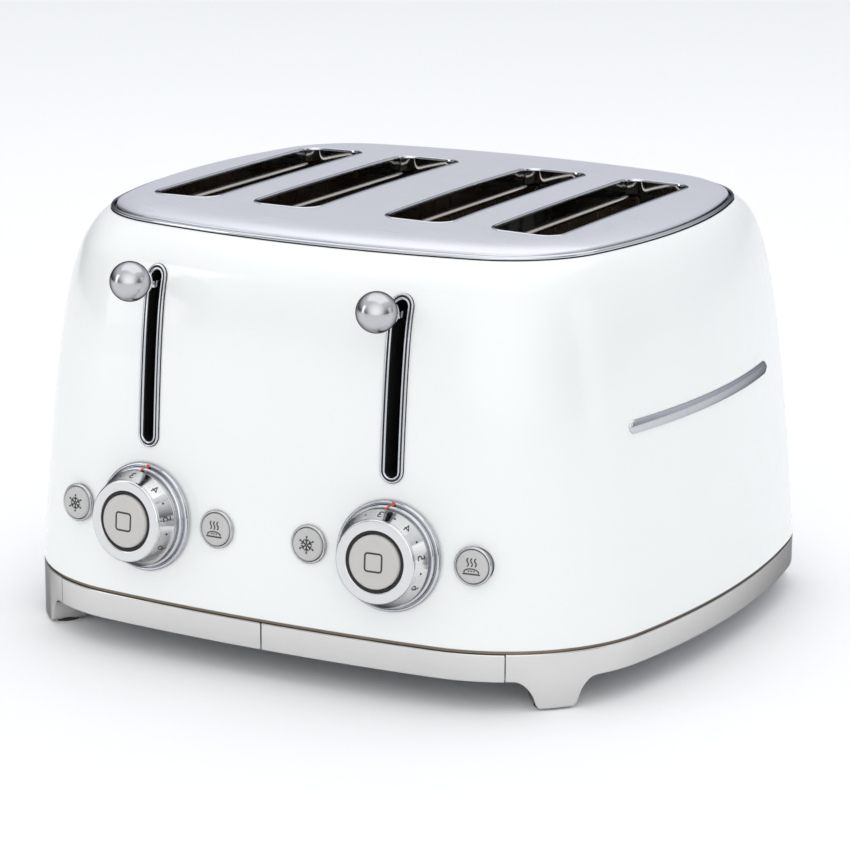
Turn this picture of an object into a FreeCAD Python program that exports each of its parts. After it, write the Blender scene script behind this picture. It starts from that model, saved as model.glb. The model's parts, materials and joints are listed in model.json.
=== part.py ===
import FreeCAD, Part
import math
import os
from FreeCAD import Placement, Rotation, Vector

# Four-slot pop-up toaster. Millimetres, +Z up, +X to the right when facing the controls.
# The pieces are modelled about the middle of the casing, then moved back along Y so that
# the origin is under the middle of the whole object, levers included.

# --- Casing plan: bowed front, back and sides joined by corner arcs -------------------
HALF_W = 174.0
HALF_D = 161.0
FRONT_R = 1000.0
SIDE_R = 480.0
CORNER_R = 83.0
TOP_FRONT_R = 450.0
TOP_SIDE_R = 300.0
TOP_CORNER_R = 58.0

# --- Casing height and wall profile: (height, inset at the sides, inset at the front) --
SHELL_Z0 = 29.5
SHELL_TOP = 206.0
PROFILE = [
    (SHELL_Z0, 0.0, 0.0),
    (81.0, 3.6, 3.6),
    (134.0, 8.8, 6.4),
    (170.0, 13.8, 9.6),
    (190.0, 19.0, 14.0),
    (200.0, 23.6, 21.5),
    (SHELL_TOP, 28.5, 32.0),
]
SHELL_WALL = 1.5

# --- Top panel -------------------------------------------------------------------------
PANEL_EDGE_Z = 207.0
# Steps of the crowned surface: (share of the outline, rise above the edge)
PANEL_STEPS = [(1.0, 0.0), (0.985, 1.2), (0.96, 2.3), (0.92, 3.4), (0.86, 4.4), (0.76, 5.1),
               (0.6, 5.7), (0.36, 6.09)]
PANEL_RISE = PANEL_STEPS[-1][1]
PANEL_THICK = 1.5
RIM_WIDTH = 6.0
RIM_HEIGHT = 3.0
SLOT_X = (-95.0, -37.0, 37.0, 95.0)
SLOT_W = 36.0
SLOT_Y0 = -80.0
SLOT_Y1 = 75.0
SLOT_END_R = 9.0
SLOT_LIP = 1.2
SLOT_LIP_Z = 205.5

# --- Base band, feet, bottom plate and crumb trays ---------------------------------------
BAND_Z0 = 14.5
BAND_Z1 = 28.0
BAND_WALL = 4.0
LEDGE_WIDTH = 10.0
LEDGE_THICK = 2.5
FOOT_Z0 = 1.0
FOOT_DEPTH = 18.0
FOOT_HALF_TOP = 21.0
FOOT_HALF_FLOOR = 9.0
PLATE_THICK = 1.5
TRAY_HALF_GAP = 0.3
TRAY_END_X = 124.0
TRAY_WALL = 3.0
TRAY_PAN_X = (3.0, 121.0)
TRAY_PAN_Z = 16.5
TRAY_PAN_TOP = 24.5
TRAY_REAR_Y = 118.0
TRAY_SHEET = 1.0

# --- Chassis, heaters and bread guides ----------------------------------------------------
FRONT_PLATE_Y = -96.0
REAR_PLATE_Y = 88.0
CHASSIS_SHEET = 1.2
CHASSIS_HALF_W = 132.0
CHASSIS_TOP = 199.0
HEATER_X = (-123.5, -66.0, -8.5, 8.5, 66.0, 123.5)
MICA_THICK = 0.8
MICA_Z0 = 40.0
MICA_Z1 = 172.0
RIBBON_STEP = 10.0
RIBBON_COUNT = 12
RIBBON_H = 1.6
RIBBON_T = 0.4
GUIDE_OFFSET = 16.5
GUIDE_TRAVEL = 7.0
RAIL_R = 1.5
GUIDE_WIRE_R = 0.9
GUIDE_TOP_Z = 203.5
GUIDE_LOW_Z = 52.0
GUIDE_WIRE_STEP = 16.0
GUIDE_WIRE_COUNT = 8

# --- Levers and carriages --------------------------------------------------------------------
LEVER_X = 67.0
LEVER_Z = 183.5
LEVER_DROP = 72.0
LEVER_LIFT = 2.0
STEM_HALF_W = 2.3
STEM_HALF_H = 1.5
BALL_R = 9.7
BALL_Y = -167.5
BALL_Z = 188.0
TRIM_W = 12.0
TRIM_Z0 = 104.0
TRIM_Z1 = 192.0
TRIM_OPENING = 5.6
TRIM_PROUD = 1.6
CARRIAGE_Y = -108.0
CARRIAGE_SHEET = 2.0
RACK_Z = 114.0
ROD_X = 80.0
ROD_Y = -114.0
ROD_R = 3.0
BUSH_CLEARANCE = 0.05
SPRING_X = 54.0
SPRING_Y = -112.5
SPRING_R = 3.5

# --- Front controls --------------------------------------------------------------------------
DIAL_X = 67.5
DIAL_Z = 70.0
BUTTON_REACH = 42.0
BEZEL_R = 26.8
BEZEL_BORE = 17.2
DIAL_SKIRT_R = 23.4
DIAL_SKIRT_Z = 7.4
DIAL_R = 20.0
DIAL_FACE = 17.0
CENTRE_R = 12.9
CENTRE_FACE = 18.5
BUTTON_R = 7.9
BUTTON_BEZEL_R = 9.4
BUTTON_SLEEVE_R = 8.7
BEZEL_SLEEVE_R = 25.2
HOLE_CLEARANCE = 0.1
BOARD_Y = -138.0
SWITCH_H = 1.5
SWITCH_GAP = 2.5

# --- Badge bar and cable gland -----------------------------------------------------------------
BAR_Z = 127.0
BAR_Y = -12.0
BAR_HALF_LENGTH = 74.0
BAR_HALF_HEIGHT = 3.2
GLAND_X = -80.0
GLAND_Z = 46.0
GLAND_R = 8.0

# The ball knobs reach further forward than the casing reaches back.
Y_SHIFT = (BALL_R - BALL_Y - HALF_D) / 2

X_AXIS = Vector(1, 0, 0)
Y_AXIS = Vector(0, 1, 0)
Z_AXIS = Vector(0, 0, 1)


# ------------------------------------------------------------------------------------------
# Helpers
# ------------------------------------------------------------------------------------------
def box(x0, x1, y0, y1, z0, z1):
    """Box between two corners."""
    return Part.makeBox(x1 - x0, y1 - y0, z1 - z0, Vector(x0, y0, z0))


def rod(start, end, radius):
    """Round bar from start to end."""
    along = end - start
    return Part.makeCylinder(radius, along.Length, start, along)


def ring(r_in, r_out, z0, z1):
    """Upright ring about Z."""
    outer = Part.makeCylinder(r_out, z1 - z0, Vector(0, 0, z0))
    inner = Part.makeCylinder(r_in, z1 - z0, Vector(0, 0, z0))
    return outer.cut(inner)


def turned(points):
    """Solid turned about Z from (radius, height) points."""
    corners = [Vector(r, 0, z) for r, z in points]
    face = Part.Face(Part.makePolygon(corners + corners[:1]))
    return face.revolve(Vector(0, 0, 0), Z_AXIS, 360)


def fuse_all(solids):
    """One shape from solids that overlap or share faces."""
    return solids[0].multiFuse(solids[1:]).removeSplitter()


def mirrored(shape):
    """The same piece on the other side of X = 0."""
    return shape.mirror(Vector(0, 0, 0), X_AXIS)


def save(name, shape):
    """Write one node, moved so that the whole object is centred on the origin."""
    placed = shape.copy()
    placed.translate(Vector(0, Y_SHIFT, 0))
    placed.exportStep("parts/" + name + ".step")
    print("%-24s solids %2d volume %9.0f valid %s" % (
        name, len(placed.Solids), placed.Volume, placed.isValid()))


def blend(a, b, t):
    """Value between a and b."""
    return a + (b - a) * t


def outline(half_w, half_d, front_r, side_r, corner_r, z):
    """Closed wire of eight tangent arcs at height z."""
    side_c = half_w - side_r
    front_c = half_d - front_r
    reach_1 = side_r - corner_r
    reach_2 = front_r - corner_r
    gap = math.hypot(side_c, front_c)
    along = (reach_1 ** 2 - reach_2 ** 2 + gap ** 2) / (2 * gap)
    across = math.sqrt(reach_1 ** 2 - along ** 2)
    ux = -side_c / gap
    uy = front_c / gap
    cx = side_c + along * ux - across * uy
    cy = along * uy + across * ux
    a1 = math.atan2(cy, cx - side_c)
    a2 = math.atan2(cy - front_c, cx)
    am = (a1 + a2) / 2
    side = (side_c + side_r * math.cos(a1), side_r * math.sin(a1))
    front = (front_r * math.cos(a2), front_c + front_r * math.sin(a2))
    bend = (cx + corner_r * math.cos(am), cy + corner_r * math.sin(am))
    path = [(half_w, 0), side, bend, front, (0, half_d)]
    path += [(-x, y) for x, y in path[-2::-1]]
    path += [(x, -y) for x, y in path[-2::-1]]
    ring_points = [Vector(x, y, z) for x, y in path[:-1]]
    start = len(ring_points) - 1
    edges = []
    for k in range(start, start + len(ring_points), 2):
        three = [ring_points[(k + j) % len(ring_points)] for j in range(3)]
        edges.append(Part.Arc(*three).toShape())
    return Part.Wire(edges)


def profile_at(z):
    """Side inset and front inset of the casing at height z."""
    for low, high in zip(PROFILE, PROFILE[1:]):
        if z <= high[0]:
            t = (z - low[0]) / (high[0] - low[0])
            return blend(low[1], high[1], t), blend(low[2], high[2], t)
    return PROFILE[-1][1:]


def casing_section(z, inset, at_z=None):
    """Casing outline at height z, moved inwards by inset and drawn at at_z."""
    side_in, front_in = profile_at(max(z, SHELL_Z0))
    t = min(max((z - SHELL_Z0) / (SHELL_TOP - SHELL_Z0), 0.0), 1.0)
    return outline(
        HALF_W - side_in - inset,
        HALF_D - front_in - inset,
        blend(FRONT_R, TOP_FRONT_R, t) - inset,
        blend(SIDE_R, TOP_SIDE_R, t) - inset,
        blend(CORNER_R, TOP_CORNER_R, t) - inset,
        z if at_z is None else at_z)


def casing_loft(inset):
    """Solid of the casing's outer form, moved inwards."""
    return Part.makeLoft([casing_section(row[0], inset) for row in PROFILE], True, False)


def casing_wall(inner_inset, outer_inset):
    """Wall between two skins of the casing, open at its top and bottom."""
    return casing_loft(outer_inset).cut(casing_loft(inner_inset))


def slab(section, height):
    """Straight-sided solid standing on a closed wire."""
    return Part.Face(section).extrude(Vector(0, 0, height))


def base_slab(inset, z0, z1):
    """Straight-sided solid with the base outline, moved inwards."""
    return slab(casing_section(SHELL_Z0, inset, z0), z1 - z0)


def top_slab(inset, z0, z1):
    """Straight-sided solid with the top outline, moved inwards."""
    return slab(casing_section(SHELL_TOP, inset, z0), z1 - z0)


def front_frame(x, z):
    """Point on the casing's front at (x, z), with local +Z pointing out of it."""
    t = (z - SHELL_Z0) / (SHELL_TOP - SHELL_Z0)
    radius = blend(FRONT_R, TOP_FRONT_R, t)
    step = 5.0
    lean = (profile_at(z + step)[1] - profile_at(z - step)[1]) / (2 * step)
    y = -(HALF_D - profile_at(z)[1]) + radius - math.sqrt(radius ** 2 - x ** 2)
    normal = Vector(x / radius, -math.sqrt(1 - (x / radius) ** 2), lean).normalize()
    return Placement(Vector(x, y, z), Rotation(Z_AXIS, normal))


def on_front(shape, x, z):
    """A piece modelled along local +Z, set on the casing's front."""
    placed = shape.copy()
    placed.Placement = front_frame(x, z).multiply(placed.Placement)
    return placed


def stadium(half_w, z0, z1, y0, y1, x):
    """Upright slot shape with round ends, extruded along Y."""
    left = x - half_w
    right = x + half_w
    low = z0 + half_w
    high = z1 - half_w
    wire = Part.Wire([
        Part.Arc(Vector(right, y0, high), Vector(x, y0, z1), Vector(left, y0, high)).toShape(),
        Part.LineSegment(Vector(left, y0, high), Vector(left, y0, low)).toShape(),
        Part.Arc(Vector(left, y0, low), Vector(x, y0, z0), Vector(right, y0, low)).toShape(),
        Part.LineSegment(Vector(right, y0, low), Vector(right, y0, high)).toShape()])
    return Part.Face(wire).extrude(Vector(0, y1 - y0, 0))


def rounded_slot(x, half_w, y0, y1, radius, z0, z1):
    """Upright prism with a rectangular plan and rounded corners."""
    solid = box(x - half_w, x + half_w, y0, y1, z0, z1)
    corners = [edge for edge in solid.Edges
               if abs(edge.Vertexes[0].Z - edge.Vertexes[1].Z) > (z1 - z0) / 2]
    return solid.makeFillet(radius, corners)


# ------------------------------------------------------------------------------------------
# Casing
# ------------------------------------------------------------------------------------------
def control_places():
    """Centres of the round holes on the front: (x, z, radius)."""
    places = []
    for side in (-1, 1):
        dial_x = side * DIAL_X
        places.append((dial_x, DIAL_Z, BEZEL_SLEEVE_R + HOLE_CLEARANCE))
        for step in (-1, 1):
            places.append((dial_x + step * BUTTON_REACH, DIAL_Z, BUTTON_SLEEVE_R + HOLE_CLEARANCE))
    return places


def body_shell():
    """Enamelled casing with its lever slots and control holes."""
    shell = casing_wall(SHELL_WALL, 0.0)
    for side in (-1, 1):
        shell = shell.cut(stadium(TRIM_W / 2 - 1, TRIM_Z0 + 1, TRIM_Z1 - 1,
                                  -HALF_D - 5, -HALF_D + 40, side * LEVER_X))
    for x, z, radius in control_places():
        hole = Part.makeCylinder(radius, 24, Vector(0, 0, -12))
        shell = shell.cut(on_front(hole, x, z))
    gland_hole = Part.makeCylinder(GLAND_R - 2, 20, Vector(GLAND_X, HALF_D - 14, GLAND_Z), Y_AXIS)
    return shell.cut(gland_hole)


def lever_trim(side):
    """Bright lip round a lever slot: a flange on the casing and a sleeve through it."""
    x = side * LEVER_X
    y0 = -HALF_D - 5
    y1 = -HALF_D + 40
    flange = stadium(TRIM_W / 2, TRIM_Z0, TRIM_Z1, y0, y1, x)
    flange = flange.common(casing_wall(-0.02, -TRIM_PROUD))
    sleeve = stadium(TRIM_W / 2 - 1.1, TRIM_Z0 + 1.1, TRIM_Z1 - 1.1, y0, y1, x)
    sleeve = sleeve.common(casing_wall(4.0, -TRIM_PROUD / 2))
    rim = (TRIM_W - TRIM_OPENING) / 2
    opening = stadium(TRIM_OPENING / 2, TRIM_Z0 + rim, TRIM_Z1 - rim, y0, y1, x)
    return flange.fuse(sleeve).removeSplitter().cut(opening)


def badge_bar():
    """Slim plain bar on the right-hand side of the casing."""
    upright = stadium(BAR_HALF_HEIGHT, -BAR_HALF_LENGTH, BAR_HALF_LENGTH, 0, 60, 0)
    upright.rotate(Vector(0, 0, 0), X_AXIS, 90)
    upright.rotate(Vector(0, 0, 0), Y_AXIS, 90)
    bounds = upright.BoundBox
    upright.translate(Vector(HALF_W + 5 - bounds.XMax,
                             BAR_Y - (bounds.YMin + bounds.YMax) / 2,
                             BAR_Z - (bounds.ZMin + bounds.ZMax) / 2))
    return upright.common(casing_wall(-0.02, -1.2))


def panel_loft(drop):
    """Gently domed solid under the top panel's surface, lowered by drop."""
    side_in, front_in = PROFILE[-1][1:]
    half_w = HALF_W - side_in - RIM_WIDTH
    half_d = HALF_D - front_in - RIM_WIDTH
    floor_z = PANEL_EDGE_Z - PANEL_THICK - drop
    wires = [outline(half_w * s, half_d * s, (TOP_FRONT_R - RIM_WIDTH) * s,
                     (TOP_SIDE_R - RIM_WIDTH) * s, (TOP_CORNER_R - RIM_WIDTH) * s,
                     PANEL_EDGE_Z + rise - drop) for s, rise in PANEL_STEPS]
    dome = Part.makeLoft(wires, True, True)
    return dome.fuse(slab(outline(half_w, half_d, TOP_FRONT_R - RIM_WIDTH,
                                  TOP_SIDE_R - RIM_WIDTH, TOP_CORNER_R - RIM_WIDTH, floor_z),
                          PANEL_EDGE_Z - drop - floor_z))


def top_panel():
    """Domed steel panel with four bread slots and their turned-down lips."""
    dome = panel_loft(0.0)
    under = panel_loft(PANEL_THICK)
    panel = dome.cut(under)
    half = SLOT_W / 2
    for x in SLOT_X:
        lip = rounded_slot(x, half + SLOT_LIP, SLOT_Y0 - SLOT_LIP, SLOT_Y1 + SLOT_LIP,
                           SLOT_END_R + SLOT_LIP, SLOT_LIP_Z, PANEL_EDGE_Z + PANEL_RISE)
        panel = panel.fuse(lip.common(dome))
    for x in SLOT_X:
        panel = panel.cut(rounded_slot(x, half, SLOT_Y0, SLOT_Y1, SLOT_END_R,
                                       SLOT_LIP_Z - 5, PANEL_EDGE_Z + PANEL_RISE + 5))
    return panel.removeSplitter()


def top_rim():
    """Polished bead between casing and top panel, with the ledge that the panel sits on."""
    bead_sections = [(0.0, 0.0), (0.5, 1.6), (1.8, RIM_HEIGHT - 0.4), (3.0, RIM_HEIGHT)]
    wires = [casing_section(SHELL_TOP, inset, SHELL_TOP + rise) for inset, rise in bead_sections]
    bead = Part.makeLoft(wires, True, False)
    bead = bead.cut(top_slab(RIM_WIDTH, SHELL_TOP - 1, SHELL_TOP + RIM_HEIGHT + 1))
    neck = top_slab(3.2, 204.0, SHELL_TOP).cut(top_slab(RIM_WIDTH, 203.0, SHELL_TOP + 1))
    ledge_top = PANEL_EDGE_Z - PANEL_THICK
    ledge = top_slab(5.0, 204.0, ledge_top).cut(top_slab(10.0, 203.0, ledge_top + 1))
    return fuse_all([bead, neck, ledge])


# ------------------------------------------------------------------------------------------
# Base
# ------------------------------------------------------------------------------------------
def foot_wedge(corner_x, corner_y):
    """Tapering foot outline, pushed through one corner of the base band."""
    outward = Vector(corner_x, corner_y, 0).normalize()
    across = Vector(-outward.y, outward.x, 0)
    origin = outward * 120

    def at(offset, z):
        return origin + across * offset + Vector(0, 0, z)

    waist = FOOT_HALF_FLOOR + 2.5
    edges = [
        Part.LineSegment(at(-FOOT_HALF_TOP, BAND_Z0), at(FOOT_HALF_TOP, BAND_Z0)).toShape(),
        Part.Arc(at(FOOT_HALF_TOP, BAND_Z0), at(waist + 2.4, BAND_Z0 - 2.8),
                 at(waist, FOOT_Z0 + 4)).toShape(),
        Part.Arc(at(waist, FOOT_Z0 + 4), at(waist - 0.8, FOOT_Z0 + 1.2),
                 at(FOOT_HALF_FLOOR, FOOT_Z0)).toShape(),
        Part.LineSegment(at(FOOT_HALF_FLOOR, FOOT_Z0), at(-FOOT_HALF_FLOOR, FOOT_Z0)).toShape(),
        Part.Arc(at(-FOOT_HALF_FLOOR, FOOT_Z0), at(-waist + 0.8, FOOT_Z0 + 1.2),
                 at(-waist, FOOT_Z0 + 4)).toShape(),
        Part.Arc(at(-waist, FOOT_Z0 + 4), at(-waist - 2.4, BAND_Z0 - 2.8),
                 at(-FOOT_HALF_TOP, BAND_Z0)).toShape()]
    return Part.Face(Part.Wire(edges)).extrude(outward * 120)


def foot_corners():
    """Direction from the middle towards each foot."""
    return [(sx * 144.0, sy * 132.0) for sx in (-1, 1) for sy in (-1, 1)]


def base_band():
    """Bright band round the base with four integral feet, open at the front for the trays."""
    band = base_slab(0.0, BAND_Z0, BAND_Z1).cut(base_slab(BAND_WALL, BAND_Z0 - 1, BAND_Z1 + 1))
    mouth = TRAY_END_X + TRAY_HALF_GAP
    band = band.cut(box(-mouth, mouth, -HALF_D - 5, -HALF_D / 2, BAND_Z0 - 1, BAND_Z1 + 1))
    inner = BAND_WALL + LEDGE_WIDTH
    ledge = base_slab(BAND_WALL, BAND_Z1 - LEDGE_THICK, BAND_Z1)
    ledge = ledge.cut(base_slab(inner, BAND_Z0, BAND_Z1 + 1))
    lobe = base_slab(0.0, FOOT_Z0, BAND_Z0).cut(base_slab(FOOT_DEPTH, FOOT_Z0 - 1, BAND_Z0 + 1))
    feet = [lobe.common(foot_wedge(x, y)) for x, y in foot_corners()]
    return fuse_all([band, ledge] + feet)


def foot_pads():
    """Rubber pads under the feet."""
    lobe = base_slab(4.0, 0.0, FOOT_Z0).cut(base_slab(FOOT_DEPTH - 2, -1.0, FOOT_Z0 + 1))
    pads = []
    for x, y in foot_corners():
        outward = Vector(x, y, 0).normalize()
        centre = outward * (Vector(x, y, 0).Length - FOOT_DEPTH / 2)
        pads.append(lobe.common(Part.makeCylinder(FOOT_HALF_FLOOR - 1, FOOT_Z0, centre)))
    return Part.makeCompound(pads)


def bottom_plate():
    """Steel plate under the trays, with cooling slots."""
    plate = base_slab(BAND_WALL + 0.5, BAND_Z0, BAND_Z0 + PLATE_THICK)
    for row in range(-5, 6):
        for side in (-1, 1):
            x = side * 66.0
            y = row * 18.0
            plate = plate.cut(box(x - 34, x + 34, y - 2, y + 2, BAND_Z0 - 1, BAND_Z0 + 3))
    for x, y in base_screw_places():
        hole = Part.makeCylinder(2.1, 6, Vector(x, y, BAND_Z0 - 2))
        plate = plate.cut(hole)
    return plate


def base_screw_places():
    """Screws that hold the bottom plate to the posts of the chassis floor."""
    return [(sx * 136.0, y) for sx in (-1, 1) for y in (-70.0, 0.0, 70.0)]


def base_screws():
    """Six pan-head screws, head down."""
    screws = []
    for x, y in base_screw_places():
        head = turned([(0, BAND_Z0 - 2.2), (2.6, BAND_Z0 - 2.2), (3.8, BAND_Z0 - 1.2),
                       (3.8, BAND_Z0), (0, BAND_Z0)])
        shank = Part.makeCylinder(1.8, 9, Vector(0, 0, BAND_Z0))
        cross = box(-2.2, 2.2, -0.4, 0.4, BAND_Z0 - 3, BAND_Z0 - 1.4)
        cross = cross.fuse(box(-0.4, 0.4, -2.2, 2.2, BAND_Z0 - 3, BAND_Z0 - 1.4))
        screw = head.fuse(shank).cut(cross)
        screw.translate(Vector(x, y, 0))
        screws.append(screw)
    return Part.makeCompound(screws)


def chassis_base():
    """Floor of the toasting chamber, open under each slot, with screw posts below it."""
    floor = base_slab(1.2, BAND_Z1, SHELL_Z0)
    for x in SLOT_X:
        floor = floor.cut(box(x - 23, x + 23, FRONT_PLATE_Y + 8, REAR_PLATE_Y - 8,
                              BAND_Z1 - 1, SHELL_Z0 + 1))
    posts = []
    for x, y in base_screw_places():
        post = Part.makeCylinder(4.5, BAND_Z1 - BAND_Z0 - PLATE_THICK,
                                 Vector(x, y, BAND_Z0 + PLATE_THICK))
        bore = Part.makeCylinder(1.9, 9, Vector(x, y, BAND_Z0 + PLATE_THICK - 1))
        posts.append(post.cut(bore))
    return fuse_all([floor] + posts)


def crumb_tray():
    """Right-hand crumb tray: a piece of the base band with a shallow pan behind it."""
    front = base_slab(0.0, BAND_Z0, BAND_Z1).cut(base_slab(TRAY_WALL, BAND_Z0 - 1, BAND_Z1 + 1))
    front = front.common(box(TRAY_HALF_GAP, TRAY_END_X, -HALF_D - 5, -HALF_D / 2,
                             BAND_Z0, BAND_Z1 - 0.2))
    inner_x, outer_x = TRAY_PAN_X
    outside = box(inner_x, outer_x, -HALF_D - 5, TRAY_REAR_Y, TRAY_PAN_Z, TRAY_PAN_TOP)
    inside = box(inner_x + TRAY_SHEET, outer_x - TRAY_SHEET, -HALF_D - 6,
                 TRAY_REAR_Y - TRAY_SHEET, TRAY_PAN_Z + TRAY_SHEET, TRAY_PAN_TOP + 1)
    pan = outside.cut(inside).common(base_slab(TRAY_WALL / 2, BAND_Z0, BAND_Z1))
    return front.fuse(pan).removeSplitter()


# ------------------------------------------------------------------------------------------
# Toasting chamber
# ------------------------------------------------------------------------------------------
def chamber_plate(y0):
    """Upright end plate with its rack slots and the slots that the guide rails run in."""
    plate = box(-CHASSIS_HALF_W, CHASSIS_HALF_W, y0, y0 + CHASSIS_SHEET, SHELL_Z0, CHASSIS_TOP)
    lowest = RACK_Z - LEVER_DROP - 2
    highest = RACK_Z + 6 + LEVER_LIFT + 2
    for x in SLOT_X:
        cuts = [box(x - 2.6, x + 2.6, y0 - 1, y0 + 3, lowest, highest)]
        for side in (-1, 1):
            ends = sorted((x + side * (GUIDE_OFFSET + RAIL_R + 0.6),
                           x + side * (GUIDE_OFFSET - GUIDE_TRAVEL - RAIL_R - 0.4)))
            z = GUIDE_LOW_Z
            cuts.append(box(ends[0], ends[1], y0 - 1, y0 + 3, z - RAIL_R - 0.3, z + RAIL_R + 0.3))
        plate = plate.cut(cuts[0]).cut(cuts[1]).cut(cuts[2])
    return plate


def front_chassis_plate():
    """Front end plate, with a lug over each carriage for its rod and spring."""
    plate = chamber_plate(FRONT_PLATE_Y)
    lugs = []
    for side in (-1, 1):
        ends = sorted((side * (SPRING_X - 6), side * (ROD_X + 8)))
        lug = box(ends[0], ends[1], ROD_Y - 6, FRONT_PLATE_Y, CHASSIS_TOP - 2, CHASSIS_TOP)
        hole = Part.makeCylinder(ROD_R + 0.02, 10, Vector(side * ROD_X, ROD_Y, CHASSIS_TOP - 5))
        lugs.append(lug.cut(hole))
    return fuse_all([plate] + lugs)


def heater_cards():
    """Six mica cards between the end plates."""
    half = MICA_THICK / 2
    y0 = FRONT_PLATE_Y + CHASSIS_SHEET
    return Part.makeCompound([box(x - half, x + half, y0, REAR_PLATE_Y, MICA_Z0, MICA_Z1)
                              for x in HEATER_X])


def heater_ribbons():
    """Flat resistance ribbons on every card face that looks at a slot."""
    ribbons = []
    for x in HEATER_X:
        for side in (-1, 1):
            faces_slot = any(abs(x + side * 29.0 - slot) < 3 for slot in SLOT_X)
            if not faces_slot:
                continue
            inner = x + side * (MICA_THICK / 2 + 0.05)
            ends = sorted((inner, inner + side * RIBBON_T))
            for k in range(RIBBON_COUNT):
                z = MICA_Z0 + 10 + k * RIBBON_STEP
                ribbons.append(box(ends[0], ends[1], FRONT_PLATE_Y + 12, REAR_PLATE_Y - 12,
                                   z, z + RIBBON_H))
    return Part.makeCompound(ribbons)


def bread_guide(slot_x, side):
    """Wire frame beside one slot: two long rails joined by upright wires."""
    x = slot_x + side * GUIDE_OFFSET
    y0 = FRONT_PLATE_Y - 4
    y1 = REAR_PLATE_Y + 4
    inner_y0 = FRONT_PLATE_Y + 4
    inner_y1 = REAR_PLATE_Y - 4
    low = rod(Vector(x, y0, GUIDE_LOW_Z), Vector(x, y1, GUIDE_LOW_Z), RAIL_R)
    high = rod(Vector(x, inner_y0, GUIDE_TOP_Z), Vector(x, inner_y1, GUIDE_TOP_Z), RAIL_R)
    middle = (inner_y0 + inner_y1) / 2
    first = middle - GUIDE_WIRE_STEP * (GUIDE_WIRE_COUNT - 1) / 2
    wires = []
    for k in range(GUIDE_WIRE_COUNT):
        y = first + k * GUIDE_WIRE_STEP
        wires.append(rod(Vector(x, y, GUIDE_LOW_Z), Vector(x, y, GUIDE_TOP_Z), GUIDE_WIRE_R))
    return fuse_all([low, high] + wires)


def bread_rack(slot_x):
    """Toothed shelf that the bread stands on, reaching through both end plates."""
    spine = box(slot_x - 1.5, slot_x + 1.5, CARRIAGE_Y + CARRIAGE_SHEET, REAR_PLATE_Y + 6,
                RACK_Z, RACK_Z + 6)
    teeth = []
    for k in range(10):
        y = FRONT_PLATE_Y + 14 + k * 17.0
        teeth.append(box(slot_x - 6, slot_x + 6, y, y + 3, RACK_Z + 4, RACK_Z + 6))
    return fuse_all([spine] + teeth)


# ------------------------------------------------------------------------------------------
# Right-hand lever and carriage, mirrored for the left
# ------------------------------------------------------------------------------------------
def carriage_bracket():
    """Pressed bracket: upright, cross bar for two racks, armature and spring tab."""
    y0 = CARRIAGE_Y
    y1 = CARRIAGE_Y + CARRIAGE_SHEET
    upright = box(LEVER_X - 6, LEVER_X + 5, y0, y1, RACK_Z - 2, LEVER_Z + 5)
    bar = box(SLOT_X[2] - 6, SLOT_X[3] + 6, y0, y1, RACK_Z - 2, RACK_Z + 6)
    armature = box(LEVER_X - 9, LEVER_X + 4, -132.0, y0, LEVER_Z - 8.5, LEVER_Z - 6.5)
    tab = box(SPRING_X - 3, SPRING_X + 3, SPRING_Y - 4, y0, RACK_Z + 4, RACK_Z + 6)
    return fuse_all([upright, bar, armature, tab])


def carriage_bush():
    """Block that slides on the guide rod, riveted to the bracket by a side ear."""
    block = box(ROD_X - 6, ROD_X + 6, ROD_Y - 5, CARRIAGE_Y, LEVER_Z - 12, LEVER_Z + 5)
    ear = box(LEVER_X + 1, ROD_X - 6, CARRIAGE_Y - 2, CARRIAGE_Y, LEVER_Z - 12, LEVER_Z - 9)
    bore = Part.makeCylinder(ROD_R + BUSH_CLEARANCE, 30, Vector(ROD_X, ROD_Y, LEVER_Z - 20))
    return block.fuse(ear).removeSplitter().cut(bore)


def lever_stem():
    """Flat tongue through the slot, ending in a round neck for the ball knob."""
    tongue = box(LEVER_X - STEM_HALF_W, LEVER_X + STEM_HALF_W, -150.0, CARRIAGE_Y,
                 LEVER_Z - STEM_HALF_H, LEVER_Z + STEM_HALF_H)
    neck = rod(Vector(LEVER_X, -147.0, LEVER_Z), stem_point(BALL_R - 3), 1.45)
    return tongue.fuse(neck).removeSplitter()


def stem_direction():
    """Direction of the neck, from the slot to the ball."""
    return (Vector(LEVER_X, BALL_Y, BALL_Z) - Vector(LEVER_X, -147.0, LEVER_Z)).normalize()


def stem_point(back):
    """Point on the neck's line, a distance back from the ball's centre."""
    return Vector(LEVER_X, BALL_Y, BALL_Z) - stem_direction() * back


def neck_hole():
    """Round hole for the neck, cut from the knob and its collar."""
    return rod(stem_point(22), stem_point(BALL_R - 3), 1.45)


def lever_ball():
    """Ball knob with a drilled back."""
    ball = Part.makeSphere(BALL_R, Vector(LEVER_X, BALL_Y, BALL_Z))
    flat = Part.makeCylinder(BALL_R, 6, stem_point(BALL_R - 0.6), stem_direction() * -1)
    return ball.cut(flat).cut(neck_hole())


def lever_collar():
    """Turned collar between the ball and the slot."""
    profile = [(0, 0), (5.0, 0), (6.2, 0.5), (6.4, 1.1), (5.8, 1.9), (3.4, 2.4), (3.0, 2.9), (0, 2.9)]
    collar = turned(profile)
    collar.Placement = Placement(stem_point(BALL_R - 0.6),
                                 Rotation(Z_AXIS, stem_direction() * -1))
    return collar.cut(neck_hole())


def return_spring():
    """Extension spring between the carriage tab and the lug, as a plain tube."""
    z0 = RACK_Z + 6
    z1 = CHASSIS_TOP - 2
    spring = ring(SPRING_R - 0.8, SPRING_R, z0, z1)
    spring.translate(Vector(SPRING_X, SPRING_Y, 0))
    return spring


def guide_rods():
    """Polished rods that the carriages slide on."""
    return Part.makeCompound([
        Part.makeCylinder(ROD_R, CHASSIS_TOP - SHELL_Z0, Vector(side * ROD_X, ROD_Y, SHELL_Z0))
        for side in (-1, 1)])


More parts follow.
